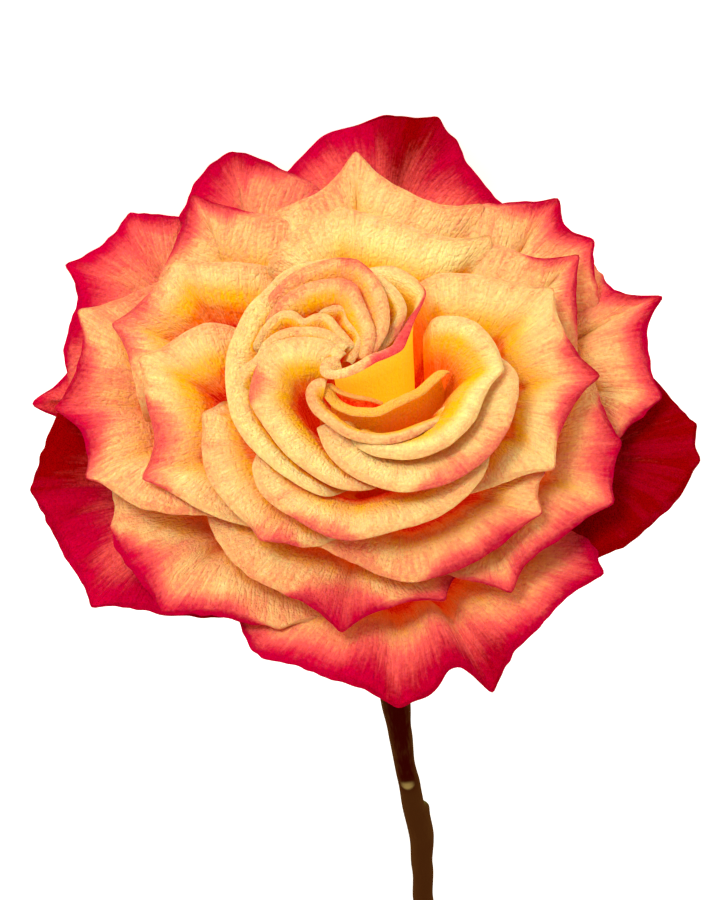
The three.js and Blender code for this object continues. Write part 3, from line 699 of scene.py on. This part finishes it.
def make_petal(name, shape, seed):
    """One petal as a thin sheet with attributes for its colour."""
    columns = petal_profiles(shape)
    last = len(columns) - 1
    roll_length = shape["roll"] * math.radians(along_margin(shape["roll_turn"], 1))
    sheet = bmesh.new()
    uv = sheet.loops.layers.uv.new("petal_mm")
    depth_share, flush, dark_red, painted_glow = (
        sheet.verts.layers.float.new(layer)
        for layer in ("depth_share", "flush", "dark_red", "painted_glow"))
    bmesh.ops.create_grid(sheet, x_segments=last, y_segments=UP, size=0.5)
    place = {vert: (round((vert.co.x + 0.5) * last), vert.co.y + 0.5) for vert in sheet.verts}
    for vert, (number, share_up) in place.items():
        column = columns[number]
        root, tip = column["controls"][0], column["controls"][-1]
        vert.co = living_point(column, share_up, shape, seed)
        below_roll = max(1 - share_up / ROLL_START, 0) * (tip - root).length * 1.15
        distance = below_roll + min((1 - share_up) / (1 - ROLL_START), 1) * roll_length
        below_gold = max(distance - shape["gold"], 0) / shape["orange"]
        vert[depth_share] = min(distance / shape["gold"], 1) + below_gold
        blushed = column["blush"] * band(distance, column["blush_reach"])
        vert[flush] = blushed + (shape["red"] - blushed) * band(distance, column["crimson"])
        vert[dark_red] = column["dark"]
        vert[painted_glow] = shape["glow"] * blend(1, 5, distance)
    for face in sheet.faces:
        for loop in face.loops:
            number, share_up = place[loop.vert]
            loop[uv].uv = (columns[number]["along"], share_up * 60)
    sheet.normal_update()
    upper = [face for face in sheet.faces if 0.6 < place[face.verts[0]][1] < 0.8]
    if sum(face.normal.z for face in upper) < 0:
        bmesh.ops.reverse_faces(sheet, faces=sheet.faces)
    piece = finish_piece(name, sheet, PETAL_THICKNESS)
    piece.modifiers["thickness"].material_offset = 1
    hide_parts("bloom")
    return piece


# %% [markdown]
# Petal tissue
#
# A rose petal is a film of water-filled cells under a velvety skin of tiny cones, which scatters
# light so evenly that it has no gloss. Yellow lies in the whole petal, red only in the skin near
# the margin, and it fades out in fine dashes that follow the veins. It could be painted as an
# image, but a formula stays sharp at any size. The mesh carries how much red flush there is at
# each point, and streaked noise breaks it up. Light that goes from petal to petal, and through
# the thin film, turns from gold to orange and red, and here it is painted into the colour: deep
# down and in hidden places the petals turn orange, partly their own colour and partly painted
# shade, and then deep red as painted shade, and the gaps between them get a painted glow.

# %% Petal material
GOLD = "#FBB40A"
BUTTER = "#FFE494"
PEACH = "#FBA66C"
# The orange is partly the petals' own colour towards the claw and partly painted shade; the deep
# red after it is painted shade deep between the petals.
ORANGE = "#F26A00"
PAINTED_SHADE_RED = "#C41A02"
CORAL = "#EA5C56"
CRIMSON = "#C00038"
# The dark crimson is partly the guard petals' own dark red and partly painted shade.
DARK_CRIMSON_AND_SHADE = "#880002"
TRANSLUCENCE = 0.35
LIGHT_TRAVEL = (1.0, 0.45, 0.06)
LIGHT_TRAVEL_MM = 1.2


def petal_tissue(name, red_share, hidden_name, own_depth, hidden_depth, glow):
    """Velvety petal tissue: gold at the root, butter yellow further out, red at the margin.

    own_depth is a factor and an addition for the depth that a place looks, and hidden_depth
    is how much deeper a hidden place looks in painted shade; glow is how strong a painted glow
    this face gets, standing in for light that comes through the thin tissue.
    """
    material, tree, shader = new_material(name)
    depth_share, hidden, flush, dark_red, painted_glow = (
        add(tree, "ShaderNodeAttribute", {"attribute_name": layer}).outputs["Fac"]
        for layer in ("depth_share", hidden_name, "flush", "dark_red", "painted_glow"))
    petal_mm = add(tree, "ShaderNodeUVMap", {"uv_map": "petal_mm"}).outputs["UV"]
    place = add(tree, "ShaderNodeTexCoord").outputs["Object"]

    # Dashes about 0.5 mm wide and 3 mm long, along the veins
    along_veins = add(tree, "ShaderNodeMapping", inputs={
        "Vector": petal_mm, "Scale": (1.0, 0.17, 1.0)})
    dashes = add(tree, "ShaderNodeTexNoise", {"noise_dimensions": "2D"}, {
        "Vector": along_veins.outputs["Vector"], "Scale": 1.6, "Detail": 4,
        "Roughness": 0.6}).outputs["Fac"]
    # Streaks about 2.5 mm wide and 12 mm long
    long_way = add(tree, "ShaderNodeMapping", inputs={
        "Vector": petal_mm, "Scale": (0.4, 0.08, 1.0)})
    streaks = add(tree, "ShaderNodeTexNoise", {"noise_dimensions": "2D"}, {
        "Vector": long_way.outputs["Vector"], "Scale": 1.0, "Detail": 2, "Roughness": 0.5})
    # Blisters of 0.5 by 0.8 mm between the finest veins
    blister_way = add(tree, "ShaderNodeMapping", inputs={
        "Vector": petal_mm, "Scale": (1.0, 0.6, 1.0)})
    blisters = add(tree, "ShaderNodeTexVoronoi", {"voronoi_dimensions": "2D"}, {
        "Vector": blister_way.outputs["Vector"], "Scale": 2.2})
    # Cell clusters about 0.6 mm wide, and cloudy patches about 8 mm wide
    grain = add(tree, "ShaderNodeTexNoise", inputs={
        "Vector": place, "Scale": 1600, "Detail": 2, "Roughness": 0.6}).outputs["Fac"]
    patches = add(tree, "ShaderNodeTexNoise", inputs={
        "Vector": place, "Scale": 125, "Detail": 3, "Roughness": 0.5})

    # Each pattern swings about 0.5, so its weight times 0.5 is taken off again
    uneven = add(tree, "ShaderNodeMath", {"operation": "MULTIPLY_ADD"}, {
        0: dashes, 1: 1.1, 2: -0.5 * (1.1 + 0.9 + 0.5)})
    uneven = add(tree, "ShaderNodeMath", {"operation": "MULTIPLY_ADD"}, {
        0: grain, 1: 0.9, 2: uneven.outputs[0]})
    uneven = add(tree, "ShaderNodeMath", {"operation": "MULTIPLY_ADD"}, {
        0: patches.outputs["Fac"], 1: 0.5, 2: uneven.outputs[0]}).outputs[0]
    streaked = add(tree, "ShaderNodeMath", {"operation": "SUBTRACT"}, {
        0: streaks.outputs["Fac"], 1: 0.5}).outputs[0]
    # The mottling fades where the red is solid
    mottling = add(tree, "ShaderNodeMapRange", inputs={
        "Value": flush, "From Min": 0.3, "To Min": 0.32, "To Max": 0.15})
    redness = add(tree, "ShaderNodeMath", {"operation": "MULTIPLY_ADD"}, {
        0: uneven, 1: mottling.outputs["Result"], 2: flush})
    redness = add(tree, "ShaderNodeMath", {"operation": "MULTIPLY_ADD"}, {
        0: streaked, 1: 0.25, 2: redness.outputs[0]})
    redness = add(tree, "ShaderNodeMath", {"operation": "MULTIPLY"}, {
        0: redness.outputs[0], 1: red_share}).outputs[0]
    darkness = add(tree, "ShaderNodeMath", {"operation": "MULTIPLY_ADD"}, {
        0: uneven, 1: 0.35, 2: dark_red})
    darkness = add(tree, "ShaderNodeMath", {"operation": "MULTIPLY_ADD"}, {
        0: streaked, 1: -0.7, 2: darkness.outputs[0]}).outputs[0]

    # Painted shade: light that has gone from petal to petal grows more orange, so a hidden place is
    # painted as if it lay deeper
    painted_shade_depth = add(tree, "ShaderNodeMapRange", {"interpolation_type": "SMOOTHSTEP"}, {
        "Value": hidden, "From Min": 0.45, "From Max": 1.0, "To Max": hidden_depth})
    lying = add(tree, "ShaderNodeMath", {"operation": "MULTIPLY_ADD"}, {
        0: depth_share, 1: own_depth[0], 2: own_depth[1]})
    depth = add(tree, "ShaderNodeMath", {"operation": "ADD"}, {
        0: lying.outputs[0], 1: painted_shade_depth.outputs["Result"]}).outputs[0]

    # Painted shade, partly the petal's own colour: places that lie deep or hidden go from butter
    # yellow to gold, orange and deep red
    yellow = paint(tree, linear(BUTTER), linear(GOLD), depth, 0.3, 0.9)
    yellow = paint(tree, yellow, linear(ORANGE), depth, 0.95, 1.7)
    yellow = paint(tree, yellow, linear(PAINTED_SHADE_RED), depth, 1.8, 3.0)
    warm = paint(tree, yellow, linear(PEACH), redness, -0.05, 0.3, change="LINEAR")
    warm = paint(tree, warm, linear(CORAL), redness, 0.25, 0.55, change="LINEAR")
    deep_red = paint(
        tree, linear(CRIMSON), linear(DARK_CRIMSON_AND_SHADE), darkness, 0, 1, change="LINEAR")
    color = paint(tree, warm, deep_red, redness, 0.5, 0.9)

    # Painted glow: deep between the petals, and in the thin walls of the heart, the tissue glows as
    # if light came through it, though it is no lamp
    painted_glow_strength = add(tree, "ShaderNodeMapRange", {"interpolation_type": "SMOOTHSTEP"}, {
        "Value": depth, "From Min": 1.4, "From Max": 3.2, "To Max": 0.5})
    painted_glow_strength = add(tree, "ShaderNodeMath", {"operation": "MULTIPLY_ADD"}, {
        0: painted_glow, 1: glow, 2: painted_glow_strength.outputs["Result"]})
    tree.links.new(painted_glow_strength.outputs[0], shader.inputs["Emission Strength"])
    tree.links.new(yellow, shader.inputs["Emission Color"])

    relief = add(tree, "ShaderNodeMath", {"operation": "MULTIPLY_ADD"}, {
        0: dashes, 1: 0.35, 2: grain})
    domes = add(tree, "ShaderNodeMath", {"operation": "POWER"}, {
        0: blisters.outputs["Distance"], 1: 2.0})
    relief = add(tree, "ShaderNodeMath", {"operation": "MULTIPLY_ADD"}, {
        0: domes.outputs[0], 1: -0.45, 2: relief.outputs[0]}).outputs[0]
    dress(tree, shader, color, relief, 0.8, 0.7, roughness=0.7, gloss=0.0)
    shader.inputs["Subsurface Weight"].default_value = TRANSLUCENCE
    shader.inputs["Subsurface Radius"].default_value = LIGHT_TRAVEL
    shader.inputs["Subsurface Scale"].default_value = LIGHT_TRAVEL_MM * MM
    return material


inner_face = petal_tissue("rose_petal_inner_face", 1.0, "sky_hidden", (1, 0), 1.2, 0.15)
outer_face = petal_tissue("rose_petal_outer_face", 0.45, "sky_hidden_below", (0.1, 0.75), 0.75, 1)

# %% Make the petals
SEED_STEP = 3.7
petal_pieces = []
for number, (name, petal) in enumerate(PETALS.items()):
    piece = make_petal("petal_" + name, petal, SEED_STEP * number)
    piece.data.materials.append(inner_face)
    piece.data.materials.append(outer_face)
    petal_pieces.append(piece)
print("petals made:", len(petal_pieces))

# %% [markdown]
# Hidden places
#
# Each place of a petal is lit by the part of the sky that its neighbours leave open. A few
# directions spread over the half sphere above the place tell how much of it they hide, and the
# petals' colour paints that share in as shade.

# %% How much of the sky each place of a petal misses
SKY = 12
SKY_DIRECTIONS = [
    polar(137.5 * number, math.sqrt((number + 0.5) / SKY), math.sqrt(1 - (number + 0.5) / SKY))
    for number in range(SKY)]
FARTHEST = 0.03


def all_petals_tree(pieces):
    """A search tree over the sheets of all petals."""
    corners = []
    faces = []
    for piece in pieces:
        first = len(corners)
        corners += [vertex.co.copy() for vertex in piece.data.vertices]
        faces += [[first + index for index in polygon.vertices] for polygon in piece.data.polygons]
    return BVHTree.FromPolygons(corners, faces)


def hidden_share(petals, point, normal):
    """How much of the half sphere above a point is hidden by petals, from 0 to 1."""
    turn = Vector((0, 0, 1)).rotation_difference(normal)
    start = point + normal * 0.4 * MM
    hits = [petals.ray_cast(start, turn @ way, FARTHEST)[0] for way in SKY_DIRECTIONS]
    return sum(hit is not None for hit in hits) / SKY


petals = all_petals_tree(petal_pieces)
for piece, petal in zip(petal_pieces, PETALS.values()):
    mesh = piece.data
    for layer, side in (("sky_hidden", 1), ("sky_hidden_below", -1)):
        shares = [
            petal["cover"] * hidden_share(petals, vertex.co, vertex.normal * side)
            for vertex in mesh.vertices]
        mesh.attributes.new(layer, "FLOAT", "POINT").data.foreach_set("value", shares)
print("directions looked along:", SKY)

# %% [markdown]
# Stem
#
# A rose stem is a young woody shoot: round, a little zigzag because it turns at each leaf node,
# and thicker just below the flower. A tube along a curve would give the bends, but not the step
# where a side shoot was cut off. So the stem grows ring by ring from a circle, which is extruded
# again and again, and every ring gets its own centre and width. Its end was cut on a slant.

# %% Stem tables
STEM_TOP = -16.0
STEM_LENGTH = 150.0
STEM_BENDS = [
    (0, 0), (44, -0.5), (56, -0.7), (70, -0.9), (79, -0.7), (88, -0.7), (100, -0.3), (114, -1.1),
    (129, -2.1), (150, -2.8)]
STEM_WIDTHS = [
    (0, 6.8), (20, 6.3), (44, 5.5), (56, 4.5), (70, 4.0), (79, 4.2), (88, 4.3), (100, 4.6),
    (114, 4.2), (129, 4.1), (150, 4.1)]
SHOULDER = dict(along=88.6, azimuth=0, rise=0.95, fades=11)
BUD_SCAR = dict(along=74.5, azimuth=262, width=1.6, height=1.9)
END_SLANT = 0.55
STEM_SIDES = 28
STEM_RADIUS = 2.1


def read_table(table, value):
    """The value between the rows of a table, with a smooth step from row to row."""
    for (low, low_result), (high, high_result) in zip(table, table[1:]):
        if value <= high:
            return low_result + (high_result - low_result) * blend(low, high, value)
    return table[-1][1]


# %% Stem shape
def stem_point(along, angle):
    """A point of the stem's skin at a depth along it and an angle round it, and its scar."""
    facing = max(math.cos(angle - math.radians(SHOULDER["azimuth"])), 0) ** 2
    below = along - SHOULDER["along"]
    step = SHOULDER["rise"] * blend(-0.25, 0.25, below)
    step *= math.exp(-max(below, 0) / SHOULDER["fades"])
    away = math.remainder(angle - math.radians(BUD_SCAR["azimuth"]), 2 * math.pi) * STEM_RADIUS
    up = along - BUD_SCAR["along"]
    scar = math.exp(-(away / BUD_SCAR["width"]) ** 2 - (up / BUD_SCAR["height"]) ** 2)
    uneven = 0.08 * noise.noise(Vector((2 * math.cos(angle), 2 * math.sin(angle), along / 9)))
    radius = 0.5 * read_table(STEM_WIDTHS, along) + step * facing + 0.3 * scar + uneven
    down = radius * math.sin(angle)
    slant = END_SLANT * down * blend(STEM_LENGTH - 12, STEM_LENGTH, along)
    middle = read_table(STEM_BENDS, along)
    return Vector((middle + radius * math.cos(angle), down, STEM_TOP - along - slant)), scar


def make_stem():
    """The stem, grown ring by ring, with its scar and its sunny side as attributes."""
    depths = [1.25 * step for step in range(68)] + [85 + 0.4 * step for step in range(20)]
    depths += [93 + 1.5 * step for step in range(39)]
    tube = bmesh.new()
    uv = tube.loops.layers.uv.new("stem_mm")
    scar_layer = tube.verts.layers.float.new("scar")
    sunny_layer = tube.verts.layers.float.new("sunny")
    core_layer = tube.verts.layers.float.new("from_axis")
    bmesh.ops.create_circle(tube, cap_ends=True, segments=STEM_SIDES, radius=1)
    cap = tube.faces[:][0]
    around = {}
    middle = 0.0
    for depth in depths:
        for vert in cap.verts:
            angle = math.atan2(vert.co.y, vert.co.x - middle)
            vert.co, vert[scar_layer] = stem_point(depth, angle)
            vert[sunny_layer] = 0.5 - 0.5 * math.sin(angle)
            vert[core_layer] = STEM_RADIUS
            around[vert] = (angle, depth)
        middle = read_table(STEM_BENDS, depth)
        if depth != depths[-1]:
            cap = bmesh.ops.extrude_discrete_faces(tube, faces=[cap])["faces"][0]
    bmesh.ops.holes_fill(tube, edges=[edge for edge in tube.edges if edge.is_boundary], sides=0)
    for ring in (1.75, 1.2, 0.7, 0.25):
        bmesh.ops.inset_individual(tube, faces=[cap], thickness=0.42)
        cap.material_index = 1
        for vert in cap.verts:
            vert[core_layer] = ring
    bmesh.ops.recalc_face_normals(tube, faces=tube.faces)
    cut_height = STEM_TOP - STEM_LENGTH + 2
    for face in tube.faces:
        of_the_cut = all(vert not in around for vert in face.verts)
        if of_the_cut and face.calc_center_median().z < cut_height:
            face.material_index = 1
        turn = around.get(face.verts[0], (0, 0))[0]
        for loop in face.loops:
            angle, depth = around.get(loop.vert, (turn, STEM_LENGTH))
            angle = turn + math.remainder(angle - turn, 2 * math.pi)
            loop[uv].uv = (angle * STEM_RADIUS, depth)
    piece = finish_piece("stem_shoot", tube)
    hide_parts("stem")
    return piece


# %% [markdown]
# Stem skin and cut
#
# The skin is smooth green bark. Where the sun reached it, it turns maroon, nearly black in
# places, with fine streaks along the stem. The scar of a bud is a pale corky crescent. The cut
# end shows the green bark as a thin ring, cream wood with rays, and the white pith. A photograph
# wrapped round the stem would do too, but streaked noise along the stem's own UV map is enough.

# %% Stem materials
MAROON = "#340301"
BROWN = "#4E2E12"
STEM_GREEN = "#5E6B2A"
CORK = "#A08A52"
FRESH_WOOD = "#D9D7A4"
PITH = "#F1EFDC"


def stem_bark():
    """Green bark with a maroon sunny side, fine streaks and one pale scar; a matt bloom of wax."""
    material, tree, shader = new_material("young_rose_bark")
    sunny, scar = (
        add(tree, "ShaderNodeAttribute", {"attribute_name": layer}).outputs["Fac"]
        for layer in ("sunny", "scar"))
    stem_mm = add(tree, "ShaderNodeUVMap", {"uv_map": "stem_mm"}).outputs["UV"]
    place = add(tree, "ShaderNodeTexCoord")
    # Streaks about 0.4 mm wide and 4 mm long
    stretched = add(tree, "ShaderNodeMapping", inputs={
        "Vector": stem_mm, "Scale": (1.0, 0.1, 1.0)})
    streaks = add(tree, "ShaderNodeTexNoise", inputs={
        "Vector": stretched.outputs["Vector"], "Scale": 2.2, "Detail": 4,
        "Roughness": 0.6}).outputs["Fac"]
    # Blotches about 9 mm long
    blotches = add(tree, "ShaderNodeTexNoise", inputs={
        "Vector": place.outputs["Object"], "Scale": 110, "Detail": 3})
    uneven = add(tree, "ShaderNodeMath", {"operation": "MULTIPLY_ADD"}, {
        0: streaks, 1: 0.5, 2: -0.45})
    uneven = add(tree, "ShaderNodeMath", {"operation": "MULTIPLY_ADD"}, {
        0: blotches.outputs["Fac"], 1: 0.4, 2: uneven.outputs[0]})
    reached = add(tree, "ShaderNodeMath", {"operation": "ADD"}, {
        0: sunny, 1: uneven.outputs[0]}).outputs[0]
    # Below the bud scar the bark is older and browner
    parts = add(tree, "ShaderNodeSeparateXYZ", inputs={"Vector": stem_mm})
    young = add(tree, "ShaderNodeMapRange", {"interpolation_type": "SMOOTHSTEP"}, {
        "Value": parts.outputs["Y"], "From Min": 70, "From Max": 80, "To Min": 1.0, "To Max": 0.3})
    bark = paint(tree, linear(STEM_GREEN), linear(BROWN), reached, 0.1, 0.5)
    bark = paint(tree, bark, linear(MAROON), reached, 0.6, 1.0, most=young.outputs["Result"])
    bark = paint(tree, bark, linear(CORK), scar, 0.3, 1.0)
    dress(tree, shader, bark, streaks, 0.3, 0.3, roughness=0.6, gloss=0.0)
    return material


def cut_wood():
    """Fresh cut across the shoot: bark, wood with rays, and pith, all moist and matt."""
    material, tree, shader = new_material("fresh_cut_wood")
    from_axis = add(tree, "ShaderNodeAttribute", {"attribute_name": "from_axis"})
    stem_mm = add(tree, "ShaderNodeUVMap", {"uv_map": "stem_mm"})
    # Rays about 0.2 mm wide
    rays = add(tree, "ShaderNodeTexNoise", inputs={
        "Vector": stem_mm.outputs["UV"], "Scale": 5, "Detail": 2}).outputs["Fac"]
    edge = add(tree, "ShaderNodeMath", {"operation": "MULTIPLY_ADD"}, {
        0: rays, 1: 0.4, 2: from_axis.outputs["Fac"]}).outputs[0]
    color = paint(tree, linear(PITH), linear(FRESH_WOOD), edge, 0.8, 1.1)
    color = paint(tree, color, linear(STEM_GREEN), edge, 1.9, 2.2)
    dress(tree, shader, color, rays, 0.4, 0.3, roughness=0.8)
    return material


# %% Make the stem
shoot = make_stem()
shoot.data.materials.append(stem_bark())
shoot.data.materials.append(cut_wood())
print("stem faces:", len(shoot.data.polygons))

# %% [markdown]
# Hip and sepals
#
# Behind the petals sits the hip, the green swelling that later becomes the fruit, and from its
# rim five sepals bend back. The hip is round, so its half outline is spun round the axis. Each
# sepal is a lance-shaped leaf: a grid that is drawn along its midrib, waved at its edges and
# drawn out to a long tip.

# %% Hip and sepal shapes
HIP_OUTLINE = [
    (0.0, -15.7), (3.4, -15.7), (3.75, -14.6), (4.8, -13.0), (5.9, -11.0), (6.9, -9.0),
    (7.35, -7.0), (7.3, -5.4), (6.8, -3.8), (6.3, -2.75), (0.0, -2.75)]
SEPALS = 5
SEPAL_MIDRIB = [Vector((3.7, 0, -4.6)), Vector((16.7, 0, -2.9)), Vector((21.6, 0, -20.3))]
SEPAL_WIDTH = 7.5
SEPAL_THICKNESS = 0.55
SEPAL_ACROSS = 10
SEPAL_UP = 30


def make_hip():
    """The hip, spun from its half outline."""
    lathe = bmesh.new()
    outline = [lathe.verts.new((reach, 0, height)) for reach, height in HIP_OUTLINE]
    edges = [lathe.edges.new(pair) for pair in zip(outline, outline[1:])]
    bmesh.ops.spin(
        lathe, geom=outline + edges, cent=(0, 0, 0), axis=(0, 0, 1), angle=2 * math.pi, steps=40,
        use_merge=True)
    bmesh.ops.remove_doubles(lathe, verts=lathe.verts, dist=0.001)
    bmesh.ops.recalc_face_normals(lathe, faces=lathe.faces)
    piece = finish_piece("hip", lathe)
    rounded = piece.modifiers.new("rounded", "SUBSURF")
    rounded.levels = rounded.render_levels = 1
    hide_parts("calyx")
    return piece


def make_sepal(number):
    """One sepal, bent back from the hip's rim, with its veins on a UV map."""
    blade = bmesh.new()
    uv = blade.loops.layers.uv.new("sepal_mm")
    bmesh.ops.create_grid(blade, x_segments=SEPAL_ACROSS, y_segments=SEPAL_UP, size=0.5)
    place = {vert: (2 * vert.co.x, vert.co.y + 0.5) for vert in blade.verts}
    turn = Matrix.Rotation(math.radians(54 + number * 360 / SEPALS), 3, "Z")
    for vert, (side, share) in place.items():
        spine = bezier(SEPAL_MIDRIB, share)
        half = SEPAL_WIDTH / 2 * (0.85 + 0.35 * math.sin(math.pi * share))
        half *= max(1.0 - share ** 1.6, 0.0) ** 0.65 + 0.04
        wave = noise.noise(Vector((share * 6, side * 1.5, number * 7.3)))
        toothed = 0.25 * noise.noise(Vector((share * 24, side, number * 3.1))) * abs(side) ** 3
        vert.co = turn @ Vector((
            spine.x, half * side * (1 + toothed), spine.z - 0.9 * side * side + 0.9 * wave * share))
    for face in blade.faces:
        for loop in face.loops:
            side, share = place[loop.vert]
            loop[uv].uv = (side * SEPAL_WIDTH / 2, share * 27)
    bmesh.ops.recalc_face_normals(blade, faces=blade.faces)
    piece = finish_piece("sepal_" + str(number + 1), blade, SEPAL_THICKNESS)
    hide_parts("calyx")
    return piece


# %% [markdown]
# Green tissue
#
# Hip and sepals are leaf tissue with a thin wax, so they have a low gloss. The sepals have a
# paler midrib with side veins every 2 mm or so; the hip is plain, with faint mottling.

# %% Green materials
LEAF_GREEN = "#5C7F2E"
PALE_GREEN = "#9DB262"
RED_EDGE = "#7A3B22"


def hip_skin():
    """Smooth waxed skin of the hip with a low gloss and faint mottling about 1.5 mm wide."""
    material, tree, shader = new_material("waxed_hip_skin")
    place = add(tree, "ShaderNodeTexCoord")
    mottle = add(tree, "ShaderNodeTexNoise", inputs={
        "Vector": place.outputs["Object"], "Scale": 650, "Detail": 4,
        "Roughness": 0.6}).outputs["Fac"]
    color = paint(
        tree, linear(LEAF_GREEN), linear(PALE_GREEN), mottle, 0.3, 0.75, change="LINEAR")
    dress(tree, shader, color, mottle, 0.15, 0.3, roughness=0.4)
    return material


def sepal_leaf():
    """Leaf tissue with a pale midrib, side veins and a reddened edge; nearly matt."""
    material, tree, shader = new_material("sepal_leaf_tissue")
    sepal_mm = add(tree, "ShaderNodeUVMap", {"uv_map": "sepal_mm"}).outputs["UV"]
    parts = add(tree, "ShaderNodeSeparateXYZ", inputs={"Vector": sepal_mm})
    from_midrib = add(tree, "ShaderNodeMath", {"operation": "ABSOLUTE"}, {
        0: parts.outputs["X"]}).outputs[0]
    slanted = add(tree, "ShaderNodeMath", {"operation": "SUBTRACT"}, {
        0: parts.outputs["Y"], 1: from_midrib})
    # Cells about 0.5 mm wide
    cells = add(tree, "ShaderNodeTexNoise", inputs={
        "Vector": sepal_mm, "Scale": 1.8, "Detail": 4, "Roughness": 0.6}).outputs["Fac"]
    # Side veins every 2 mm along the slanted direction
    turn = add(tree, "ShaderNodeMath", {"operation": "MULTIPLY_ADD"}, {
        0: slanted.outputs[0], 1: math.pi, 2: cells})
    ripple = add(tree, "ShaderNodeMath", {"operation": "SINE"}, {0: turn.outputs[0]})
    veins = add(tree, "ShaderNodeMapRange", {"interpolation_type": "SMOOTHSTEP"}, {
        "Value": ripple.outputs[0], "From Min": 0.7, "From Max": 1.0, "To Max": 0.5})
    midrib = add(tree, "ShaderNodeMapRange", {"interpolation_type": "SMOOTHSTEP"}, {
        "Value": from_midrib, "From Min": 0.15, "From Max": 0.6, "To Min": 0.9, "To Max": 0.0})
    paler = add(tree, "ShaderNodeMath", {"operation": "MAXIMUM"}, {
        0: veins.outputs["Result"], 1: midrib.outputs["Result"]}).outputs[0]
    uneven = add(tree, "ShaderNodeMath", {"operation": "MULTIPLY_ADD"}, {
        0: cells, 1: 0.35, 2: paler}).outputs[0]
    green = paint(tree, linear(LEAF_GREEN), linear(PALE_GREEN), uneven, 0, 1, change="LINEAR")
    color = paint(tree, green, linear(RED_EDGE), from_midrib, 3.1, 3.7, most=0.7)
    dress(tree, shader, color, paler, 0.4, 0.4, roughness=0.55, gloss=0.3)
    return material


# %% Make hip and sepals
make_hip().data.materials.append(hip_skin())
leaf = sepal_leaf()
for number in range(SEPALS):
    make_sepal(number).data.materials.append(leaf)
print("sepals made:", SEPALS)
